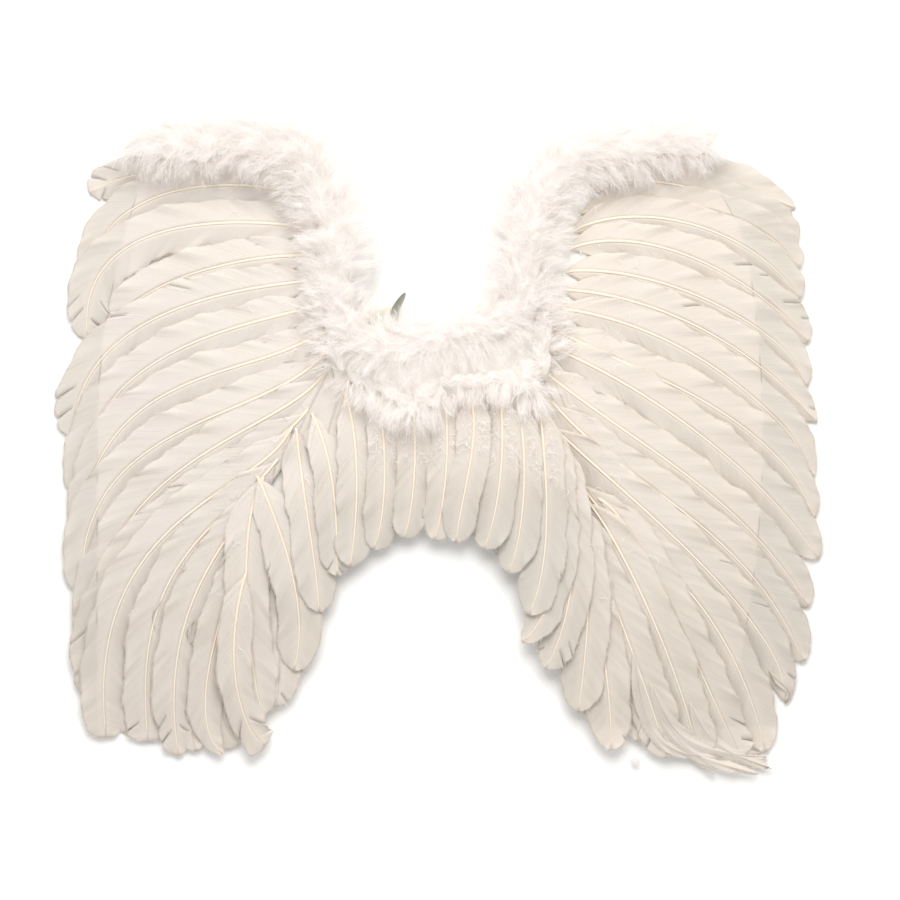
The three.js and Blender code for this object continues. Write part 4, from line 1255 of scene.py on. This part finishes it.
@dataclass
class DownTree:
    """The node tree that plants plumes on a body and combs them."""

    plumes: Sequence[bpy.types.Object]
    material: bpy.types.Material
    tree: bpy.types.NodeTree = field(init=False)

    def __post_init__(self) -> None:
        """Build the tree."""
        self.tree = bpy.data.node_groups.new("marabou_plumes", "GeometryNodeTree")
        face = self.tree.interface
        face.new_socket("Body", in_out="INPUT", socket_type="NodeSocketGeometry")
        for name, kind, value in (
            ("Density", "NodeSocketFloat", 20000.0), ("Length", "NodeSocketFloat", 0.02),
            ("Comb", "NodeSocketFloat", 0.9), ("Untidy", "NodeSocketFloat", 0.3),
            ("Drift", "NodeSocketFloat", 0.012), ("Height", "NodeSocketFloat", 0.046),
            ("Top", "NodeSocketFloat", 0.27), ("Seed", "NodeSocketInt", 1),
        ):
            face.new_socket(name, in_out="INPUT", socket_type=kind).default_value = value
        face.new_socket("Down", in_out="OUTPUT", socket_type="NodeSocketGeometry")
        self._wire(Tree(self.tree))

    def _wire(self, tree: Tree) -> None:
        """Add and link the nodes."""
        given = tree.node("NodeGroupInput").socket.node.outputs
        put = {name: Wire(tree, given[name]) for name in (
            "Body", "Density", "Length", "Comb", "Untidy", "Drift", "Height", "Top", "Seed")}
        spots = tree.node(
            "GeometryNodeDistributePointsOnFaces", {"distribute_method": "RANDOM"},
            {"Mesh": put["Body"], "Selection": self._upper(tree), "Density": put["Density"], "Seed": put["Seed"]},
        )
        normal = Wire(tree, spots.socket.node.outputs["Normal"])
        comb = tree.node("GeometryNodeInputNamedAttribute", {"data_type": "FLOAT_VECTOR"}, {"Name": "comb"})
        stray = tree.node(
            "FunctionNodeRandomValue", {"data_type": "FLOAT_VECTOR"},
            {0: (-1.0, -1.0, -1.0), 1: (1.0, 1.0, 1.0), "Seed": 3},
        )
        way = self._sum(tree, normal, self._scaled(tree, comb, put["Comb"]))
        way = self._sum(tree, way, self._scaled(tree, stray, put["Untidy"]))
        aimed = tree.node("FunctionNodeAlignRotationToVector", {"axis": "Z"}, {"Vector": way})
        angle = tree.node("FunctionNodeRandomValue", {"data_type": "FLOAT"}, {2: 0.0, 3: 6.283, "Seed": 5}, 1)
        spin = tree.node("FunctionNodeAxisAngleToRotation", {}, {"Axis": (0.0, 0.0, 1.0), "Angle": angle})
        turned = tree.node(
            "FunctionNodeRotateRotation", {"rotation_space": "LOCAL"}, {"Rotation": aimed, "Rotate By": spin}
        )
        size = tree.node("FunctionNodeRandomValue", {"data_type": "FLOAT"}, {2: 0.75, 3: 1.15, "Seed": 7}, 1)
        long = tree.node("GeometryNodeInputNamedAttribute", {"data_type": "FLOAT"}, {"Name": "long"})
        size = size * put["Length"] * long
        kinds = [
            tree.node("GeometryNodeObjectInfo", {}, {"Object": plume, "As Instance": True}, "Geometry")
            for plume in self.plumes
        ]
        bundle = tree.node("GeometryNodeJoinGeometry", {}, {0: kinds})
        which = tree.node(
            "FunctionNodeRandomValue", {"data_type": "INT"}, {4: 0, 5: len(self.plumes) - 1, "Seed": 9}, 2
        )
        planted = tree.node(
            "GeometryNodeInstanceOnPoints", {},
            {"Points": spots, "Instance": bundle, "Pick Instance": True, "Instance Index": which,
             "Rotation": turned, "Scale": size},
        )
        tone = tree.node("FunctionNodeRandomValue", {"data_type": "FLOAT"}, {2: 0.0, 3: 1.0, "Seed": 11}, 1)
        toned = tree.node(
            "GeometryNodeStoreNamedAttribute", {"data_type": "FLOAT", "domain": "INSTANCE"},
            {"Geometry": planted, "Name": "tone", "Value": tone},
        )
        real = tree.node("GeometryNodeRealizeInstances", {}, {0: toned})
        place = tree.node("GeometryNodeInputPosition")
        field_ = tree.node(
            "ShaderNodeTexNoise", {}, {"Vector": place, "Scale": 36.0, "Detail": 2.0}, "Color"
        )
        push = tree.node("ShaderNodeVectorMath", {"operation": "SUBTRACT"}, {0: field_, 1: (0.5, 0.5, 0.5)})
        reach = tree.node("GeometryNodeInputNamedAttribute", {"data_type": "FLOAT"}, {"Name": "reach"})
        amount = tree.node("ShaderNodeMath", {"operation": "MULTIPLY"}, {0: reach, 1: put["Drift"]})
        drifted = tree.node(
            "GeometryNodeSetPosition", {}, {"Geometry": real, "Offset": self._scaled(tree, push, amount)}
        )
        x, y, z = tree.parts(tree.node("GeometryNodeInputPosition"))
        held = tree.node("ShaderNodeMath", {"operation": "MAXIMUM"}, {0: z, 1: 0.0012})
        pressed = tree.vector(x, self._eased(tree, y, put["Top"]), self._eased(tree, held, put["Height"]))
        kept = tree.node("GeometryNodeSetPosition", {}, {"Geometry": drifted, "Position": pressed})
        joined = tree.node("GeometryNodeJoinGeometry", {}, {0: [kept, put["Body"]]})
        painted = tree.node(
            "GeometryNodeSetMaterial", {}, {"Geometry": joined, "Material": self.material}
        )
        tree.node("NodeGroupOutput", {}, {0: painted})

    @staticmethod
    def _eased(tree: Tree, value: Wire, limit: Wire) -> Wire:
        """Return a value that grows at less than half its rate past a limit."""
        under = tree.node("ShaderNodeMath", {"operation": "MINIMUM"}, {0: value, 1: limit})
        over = tree.node("ShaderNodeMath", {"operation": "MAXIMUM"}, {0: value - limit, 1: 0.0})
        return under + over * 0.42

    @staticmethod
    def _upper(tree: Tree) -> Wire:
        """Return whether a face looks up or out to the side, and not down at the card."""
        _, _, up = tree.parts(tree.node("GeometryNodeInputNormal"))
        return tree.node("ShaderNodeMath", {"operation": "GREATER_THAN"}, {0: up, 1: -0.35})

    @staticmethod
    def _scaled(tree: Tree, vector: Wire, scale: Wire) -> Wire:
        """Return a vector times a number."""
        return tree.node("ShaderNodeVectorMath", {"operation": "SCALE"}, {0: vector, "Scale": scale})

    @staticmethod
    def _sum(tree: Tree, one: Wire, two: Wire) -> Wire:
        """Return the sum of two vectors."""
        return tree.node("ShaderNodeVectorMath", {"operation": "ADD"}, {0: one, 1: two})

    def planted(self, body: bpy.types.Object, name: str, values: dict[str, float]) -> bpy.types.Object:
        """Run the tree on a body and return a plain mesh.

        Args:
            body: the body that carries the down. It is removed.
            name: the new piece's name.
            values: the tree's inputs by name.

        Returns:
            The realised piece.
        """
        modifier = body.modifiers.new("plumes", "NODES")
        modifier.node_group = self.tree
        sockets = {item.name: item.identifier for item in self.tree.interface.items_tree if item.in_out == "INPUT"}
        for key, value in values.items():
            modifier[sockets[key]] = value
        view = bpy.context.evaluated_depsgraph_get()
        made = bpy.data.meshes.new_from_object(body.evaluated_get(view), depsgraph=view)
        made.name = name
        bpy.data.objects.remove(body)
        return linked(bpy.data.objects.new(name, made))


@dataclass(frozen=True)
class Spot:
    """A place on a run of trim, in shares, and how wide its body and how long its plumes are there."""

    x: float
    y: float
    wide: float
    long: float = 1.0


@dataclass
class Trim:
    """One run of marabou along a line: a soft body with plumes planted on it."""

    name: str
    node: str
    points: Sequence[Spot]
    half: float = 0.0135
    rise: float = 0.0105
    density: float = 76000.0
    plume: float = 0.0215
    drift: float = 0.0075
    comb: float = 0.95
    sweep: float = 0.55
    hang: float = 0.0
    seed: int = 1
    base: float = 0.012
    along: int = 90
    around: int = 14
    joined: bool = False

    def _line(self, layout: Layout) -> tuple[np.ndarray, np.ndarray, np.ndarray]:
        """Return evenly spaced places on a smooth curve through the spots, and the widths and lengths there."""
        places = np.array([[*layout.place((spot.x, spot.y)), spot.wide, spot.long] for spot in self.points])
        padded = np.concatenate([2 * places[:1] - places[1:2], places, 2 * places[-1:] - places[-2:-1]])
        fine = []
        for n in range(1, len(padded) - 2):
            before, here, after, later = padded[n - 1:n + 3]
            for t in np.linspace(0, 1, 24, endpoint=False):
                fine.append(0.5 * (
                    2 * here + (after - before) * t + (2 * before - 5 * here + 4 * after - later) * t**2
                    + (3 * here - before - 3 * after + later) * t**3))
        fine.append(padded[-2])
        line = np.array(fine)
        walked = np.concatenate([[0], np.cumsum(np.linalg.norm(np.diff(line[:, :2], axis=0), axis=1))])
        even = np.linspace(0, walked[-1], self.along)
        found = np.stack([np.interp(even, walked, line[:, k]) for k in range(4)], axis=-1)
        return found[:, :2], found[:, 2], found[:, 3]

    def _floor(self, line: np.ndarray) -> np.ndarray:
        """Return the height of the solid roll's underside along the line."""
        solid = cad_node(self.node).data
        corners = [tuple(corner.co) for corner in solid.vertices]
        tree = BVHTree.FromPolygons(corners, [tuple(face.vertices) for face in solid.polygons])
        heights = []
        for spot in line:
            hit = tree.ray_cast(Vector((spot[0], spot[1], -0.05)), Vector((0, 0, 1)))
            heights.append(hit[0].z if hit[0] else math.nan)
        found = np.array(heights)
        good = np.isfinite(found)
        if not good.any():
            return np.full(len(found), self.base)
        steps = np.arange(len(found))
        return smoothed(np.interp(steps, steps[good], found[good]), 4)

    def build(self, layout: Layout, down: DownTree) -> bpy.types.Object:
        """Make the run of trim.

        Args:
            layout: where the shares lie.
            down: the tree that plants the plumes.

        Returns:
            The finished piece.
        """
        draw = np.random.default_rng(self.seed)
        line, wide, long = self._line(layout)
        floor = self._floor(line)
        way = np.gradient(line, axis=0)
        way /= np.linalg.norm(way, axis=1)[:, None]
        side = np.stack([-way[:, 1], way[:, 0]], axis=1)
        lumps = smoothed(draw.uniform(0.72, 1.28, self.along), 2)
        steps = np.arange(self.along)
        ends = np.clip((steps + 1) / 5, 0.2, 1) * (1 if self.joined else np.clip((self.along - steps) / 5, 0.2, 1))
        lumps = lumps * ends * wide
        turn = np.linspace(0, 2 * math.pi, self.around, endpoint=False)
        corners = np.zeros((self.along, self.around, 3))
        comb = np.zeros_like(corners)
        wobble = smoothed(draw.normal(0, 0.004, self.along), 3)
        lean = 1.3 * np.sin(np.arange(self.along) * 0.9 + draw.uniform(0, 6)) * smoothed(draw.uniform(0.3, 1, self.along), 2)
        for k, angle in enumerate(turn):
            out, up = math.cos(angle), math.sin(angle)
            ragged = 1 + 0.12 * np.sin(7 * angle + np.arange(self.along) * 0.9)
            reach = self.half * lumps * ragged
            spot = line + side * (out * reach + wobble)[:, None]
            corners[:, k, :2] = spot
            corners[:, k, 2] = floor + self.rise * 1.05 + up * self.rise * lumps * ragged
            comb[:, k, :2] = side * (out + lean[:, None]) - way * self.sweep * (0.5 + max(up, 0))
            comb[:, k, 1] -= self.hang
            comb[:, k, 2] = -0.35 * max(up, 0) - 0.2 * abs(out)
        made = bpy.data.meshes.new(f"{self.name}_body")
        made.from_pydata(corners.reshape(-1, 3).tolist(), [], tube_faces(self.along, self.around))
        layer = made.attributes.new("comb", "FLOAT_VECTOR", "POINT")
        layer.data.foreach_set("vector", comb.astype(np.float32).ravel())
        layer = made.attributes.new("long", "FLOAT", "POINT")
        layer.data.foreach_set("value", np.repeat(long, self.around).astype(np.float32))
        body = linked(bpy.data.objects.new(f"{self.name}_body", made))
        values = {
            "Density": self.density, "Length": self.plume, "Comb": self.comb, "Drift": self.drift, "Seed": self.seed,
        }
        piece = down.planted(body, self.name, values)
        settle(piece, "down", self.node)
        return piece


TRIM_LEFT = [
    Spot(-0.825, 0.938, 0.8, 0.8), Spot(-0.677, 0.951, 1.05, 0.95), Spot(-0.523, 0.951, 1.15, 1.0),
    Spot(-0.39, 0.937, 1.25, 1.1), Spot(-0.315, 0.89, 1.2, 1.1), Spot(-0.28, 0.838, 1.15, 1.05),
    Spot(-0.274, 0.781, 1.15, 1.05), Spot(-0.278, 0.725, 1.0, 0.85), Spot(-0.24, 0.668, 1.0, 0.8),
    Spot(-0.115, 0.641, 0.88, 0.82),
    Spot(0.0, 0.669, 0.9, 0.84),
]
TRIM_RIGHT = [
    Spot(0.712, 0.958, 0.9, 0.85), Spot(0.561, 0.95, 1.0), Spot(0.4, 0.936, 1.1, 1.05), Spot(0.288, 0.893, 1.15, 1.0),
    Spot(0.228, 0.842, 1.2, 1.05), Spot(0.203, 0.776, 1.2, 1.05), Spot(0.203, 0.716, 1.18, 1.02),
    Spot(0.17, 0.688, 1.0, 0.9),
    Spot(0.09, 0.675, 0.92, 0.84), Spot(0.0, 0.669, 0.9, 0.84),
]
ROW_LEFT = [
    Spot(-0.245, 0.612, 0.8), Spot(-0.2, 0.588, 1.1), Spot(-0.145, 0.582, 0.9), Spot(-0.078, 0.554, 1.7),
    Spot(-0.03, 0.571, 1.05, 0.85), Spot(0.0, 0.583, 1.0, 0.8),
]
ROW_RIGHT = [
    Spot(0.26, 0.585, 0.9), Spot(0.212, 0.582, 1.6), Spot(0.155, 0.592, 1.1, 0.85), Spot(0.085, 0.592, 1.2, 0.85),
    Spot(0.04, 0.589, 0.95, 0.8), Spot(0.0, 0.583, 1.0, 0.8),
]
CORNER_LEFT = [Spot(-0.318, 0.755, 0.5, 0.7), Spot(-0.31, 0.7, 1.0), Spot(-0.283, 0.648, 1.1), Spot(-0.25, 0.61, 0.9)]
CORNER_RIGHT = [Spot(0.262, 0.76, 0.5, 0.7), Spot(0.258, 0.7, 1.0), Spot(0.256, 0.645, 1.1), Spot(0.262, 0.6, 0.9)]
BALL = [Spot(0.488, 0.0245, 0.95), Spot(0.512, 0.023, 0.95)]
TUFT = [Spot(-0.2, 0.786, 0.8), Spot(-0.165, 0.776, 0.7), Spot(-0.14, 0.77, 0.4)]


# Straps, card and studio


@dataclass
class Strap:
    """An elastic band that leaves the card, turns in a loop and comes back along the floor."""

    name: str
    x: float
    leaves: float
    turns: float
    returns: float
    radius: float
    tilt: float
    skew: float = 0.0
    width: float = 0.025
    thick: float = 0.0012
    lift: float = 0.012
    gap: float = 0.00032

    def _route(self, layout: Layout) -> list[tuple[float, float, float]]:
        """Return places along the band as Y, Z and heading."""
        start, top, end = (layout.place((0.0, share))[1] for share in (self.leaves, self.turns, self.returns))
        high = self.lift - self.gap - self.thick / 2
        low = self.thick / 2
        centre = top - self.radius

        def ramp(from_y: float, from_z: float, to_y: float, to_z: float) -> list[tuple[float, float, float]]:
            """Return a smooth rise or fall between two places."""
            found = []
            for share in np.linspace(0, 1, 13):
                ease = share * share * (3 - 2 * share)
                slope = 6 * share * (1 - share) * (to_z - from_z)
                found.append((
                    from_y + (to_y - from_y) * share, from_z + (to_z - from_z) * ease,
                    math.atan2(slope, to_y - from_y)))
            return found

        route = [(start - 0.036, high, 0.0), *ramp(start, high, centre, low + 2 * self.radius)]
        for share in np.linspace(0, 1, 29)[1:]:
            turn = math.pi * share
            route.append((
                centre + self.radius * math.sin(turn), low + self.radius + self.radius * math.cos(turn), -turn))
        flat_from, flat_to = centre - 2 * self.radius, end + 0.048
        route += [(flat_from + (flat_to - flat_from) * share, low, -math.pi) for share in np.linspace(0, 1, 9)]
        route += ramp(flat_to, low, end + 0.012, high)[1:]
        route.append((end - 0.012, high, math.pi))
        return route

    def build(self, layout: Layout, finish: bpy.types.Material) -> bpy.types.Object:
        """Make the band with rolled edges.

        Args:
            layout: where the shares lie.
            finish: the woven material.

        Returns:
            The finished piece.
        """
        route = self._route(layout)
        middle_x = layout.place((self.x, 0.0))[0]
        radius_from = layout.place((0.0, self.turns))[1] - 2 * self.radius
        across = [-1, -0.94, -0.5, 0, 0.5, 0.94, 1]
        profile = [(u, 0.5 if abs(u) < 0.99 else 0.2) for u in across]
        profile += [(u, -0.5 if abs(u) < 0.99 else -0.2) for u in reversed(across)]
        corners, uvs = [], []
        walked = 0.0
        before: np.ndarray | None = None
        for y, z, heading in route:
            ease = np.clip((y - radius_from + 1.5 * self.radius) / (1.5 * self.radius), 0, 1)
            near = float(ease * ease * (3 - 2 * ease))
            turn = math.radians(self.tilt) * near
            wide = np.array([math.cos(turn), 0, math.sin(turn)])
            along = np.array([0, math.cos(heading), math.sin(heading)])
            normal = np.cross(wide, along)
            normal /= np.linalg.norm(normal)
            leant = (z - self.thick / 2) * math.sin(turn)
            below = radius_from + 2 * self.radius - y
            back = float(np.clip((below - 2 * self.radius) / 0.06, 0, 1))
            askew = -self.skew * min(below, 2 * self.radius) * (1 - back * back * (3 - 2 * back))
            middle = np.array([middle_x - leant + askew, y, z + self.width / 2 * math.sin(turn)])
            walked += 0.0 if before is None else float(np.linalg.norm(middle - before))
            before = middle
            for number, (u, t) in enumerate(profile):
                corners.append(middle + wide * (u * self.width / 2) + normal * (t * self.thick))
                # the band's back face gets its UV shifted, which marks it for the inner face's painted shade
                uvs.append((walked, u * self.width / 2 + (0.1 if number >= len(across) else 0.0)))
        shell = Shell()
        faces = [tuple(reversed(face)) for face in tube_faces(len(route), len(profile))]
        shell.add(np.array(corners), np.array(uvs), faces, 0)
        piece = shell.mesh(f"band_{self.name}", [finish])
        settle(piece, "band", self.name)
        return piece


def dress_card(finish: bpy.types.Material) -> None:
    """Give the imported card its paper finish."""
    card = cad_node("backing_card")
    for slot in card.material_slots:
        slot.material = finish


@dataclass
class Studio:
    """The floor, the soft light and the camera above the wings."""

    frame_px: float = 900.0
    metres_per_px: float = 0.000844
    distance: float = 3.2
    plane: float = 0.016
    fill: float = 0.72
    key: float = 31.0
    key_place: tuple[float, float, float] = (0.02, 1.1, 1.5)
    key_size: float = 1.3

    def build(self, layout: Layout, floor_finish: bpy.types.Material) -> None:
        """Add the floor, the lights and the camera."""
        self._floor(floor_finish)
        self._lights()
        self._camera(layout)

    def _floor(self, finish: bpy.types.Material) -> None:
        """Add the plain floor as a round sheet with a soft rim."""
        made = bpy.data.meshes.new("floor")
        rings = [(0.0, 0.0), (1.5, 0.0), (3.0, 0.0), (4.0, 0.05)]
        corners = [(0.0, 0.0, 0.0)]
        faces: list[tuple[int, ...]] = []
        around = 48
        for radius, z in rings[1:]:
            for n in range(around):
                turn = 2 * math.pi * n / around
                corners.append((radius * math.cos(turn), radius * math.sin(turn), z))
        for n in range(around):
            faces.append((0, 1 + n, 1 + (n + 1) % around))
        for ring in range(len(rings) - 2):
            for n in range(around):
                here = 1 + ring * around + n
                after = 1 + ring * around + (n + 1) % around
                faces.append((here, here + around, after + around, after))
        made.from_pydata(corners, [], faces)
        made.materials.append(finish)
        floor = linked(bpy.data.objects.new("floor", made))

    def _lights(self) -> None:
        """Add a white surround and one broad soft light from the wings' top side."""
        world = bpy.data.worlds.new("studio")
        world.use_nodes = True
        ground = world.node_tree.nodes["Background"]
        ground.inputs["Color"].default_value = (1.0, 0.995, 0.985, 1.0)
        ground.inputs["Strength"].default_value = self.fill
        bpy.context.scene.world = world
        lamp = bpy.data.lights.new("key", "AREA")
        lamp.energy = self.key
        lamp.size = self.key_size
        lamp.color = (1.0, 0.99, 0.975)
        key = linked(bpy.data.objects.new("key", lamp))
        key.location = self.key_place
        key.rotation_euler = Vector(self.key_place).to_track_quat("Z", "Y").to_euler()

    def _camera(self, layout: Layout) -> None:
        """Add the camera straight above, framed as the photograph is."""
        scene = bpy.context.scene
        scene.view_settings.view_transform = "Standard"
        lens = bpy.data.cameras.new("overhead")
        lens.sensor_width = 36.0
        wide = self.frame_px * self.metres_per_px
        lens.lens = 36.0 * (self.distance - self.plane) / wide
        lens.clip_end = 50.0
        camera = linked(bpy.data.objects.new("overhead", lens))
        middle = layout.place(((450.0 - 442.5) / 387.5, (778.0 - 450.0) / 670.0))
        camera.location = (middle[0], middle[1], self.distance)
        scene.camera = camera


# Making


def main() -> None:
    """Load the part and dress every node."""
    logging.basicConfig(level=logging.INFO, format="%(name)s: %(message)s")
    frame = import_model()
    _NODES.update(frame["nodes"])
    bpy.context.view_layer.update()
    layout = Layout()
    finishes = Finishes()
    dress_card(finishes.card)
    LOG.info("card dressed")
    rows = {
        "left_flight": LEFT_FLIGHT, "right_flight": RIGHT_FLIGHT, "left_lower": LEFT_LOWER,
        "right_lower": RIGHT_LOWER, "skirt": SKIRT,
    }
    fringe = StrandTree(LOOSE_BARB, finishes.vane)
    threads = StrandTree(CURLY_THREAD, finishes.down)
    seed = 100
    for prefix, row in rows.items():
        faces = 0
        rims: list[tuple[np.ndarray, np.ndarray]] = []
        bases: list[tuple[np.ndarray, np.ndarray]] = []
        for number, feather in enumerate(row, 1):
            seed += 1
            maker = FeatherMaker(f"{prefix}_{number:02d}", feather, layout, finishes, seed)
            faces += len(maker.build().data.polygons)
            rims += maker.rims
            bases += maker.bases
        barbs = fringe.planted(f"barbs_{prefix}", rims, seed)
        curls = threads.planted(f"threads_{prefix}", bases, seed, 0.0017 if prefix == "skirt" else 0.014)
        LOG.info(
            "%s: %d feathers, %d faces, %d in barbs, %d in threads",
            prefix, len(row), faces, len(barbs.data.polygons), len(curls.data.polygons),
        )
    everything = surface_of("backing_card", *(
        f"{prefix}_{number:02d}" for prefix, row in rows.items() for number in range(1, len(row) + 1)))
    for prefix, row, drape, lift in (
        ("under", UNDER, surface_of("backing_card"), 0.0005), ("swept", SWEPT, everything, 0.0006),
    ):
        rims = []
        for number, feather in enumerate(row, 1):
            seed += 1
            maker = FeatherMaker(f"{prefix}_{number:02d}", feather, layout, finishes, seed, drape, lift)
            maker.shafted = prefix != "under"
            maker.build()
            rims += maker.rims
        fringe.planted(f"barbs_{prefix}", rims, seed)
        LOG.info("%s: %d feathers", prefix, len(row))
    for tree in (fringe, threads):
        bpy.data.objects.remove(tree.blade)
    plumes = [PlumeShape(n).build() for n in (1, 2, 3, 4)]
    down = DownTree(plumes, finishes.down)
    trims = [
        Trim("fluff_left_edge", "marabou_left", TRIM_LEFT, seed=21, joined=True),
        Trim("fluff_right_edge", "marabou_right", TRIM_RIGHT, seed=22, joined=True),
        Trim(
            "fluff_left_row", "marabou_left", ROW_LEFT, half=0.0045, rise=0.005, plume=0.022, hang=0.9, sweep=0.2,
            density=130000.0, seed=23, along=40, joined=True,
        ),
        Trim(
            "fluff_right_row", "marabou_right", ROW_RIGHT, half=0.0045, rise=0.005, plume=0.022, hang=0.9, sweep=0.2,
            density=130000.0, seed=24, along=42, joined=True,
        ),
        Trim("fluff_left_tuft", "marabou_left", TUFT, half=0.006, rise=0.006, plume=0.013, seed=25, along=12),
        Trim(
            "fluff_left_corner", "marabou_left", CORNER_LEFT, half=0.006, rise=0.006, plume=0.02, seed=26, along=24,
        ),
        Trim(
            "fluff_right_corner", "marabou_right", CORNER_RIGHT, half=0.006, rise=0.006, plume=0.02, seed=27, along=24,
        ),
        Trim(
            "fluff_ball", "marabou_right", BALL, half=0.0042, rise=0.0036, density=500000.0, plume=0.0028, drift=0.001,
            sweep=0.0, seed=28, base=0.0012, along=8, around=8,
        ),
    ]
    for trim in trims:
        piece = trim.build(layout, down)
        LOG.info("%s: %d faces", trim.name, len(piece.data.polygons))
    for plume in plumes:
        bpy.data.objects.remove(plume)
    straps = [
        Strap("shoulder_strap_left", -0.124, 0.675, 0.724, 0.47, 0.0115, 15.0, 0.6),
        Strap("shoulder_strap_right", 0.15, 0.68, 0.71, 0.47, 0.0051, 0.0),
    ]
    for strap in straps:
        strap.build(layout, finishes.band)
        LOG.info("%s made", strap.name)
    Studio().build(layout, finishes.floor)


if __name__ == "__main__":
    main()
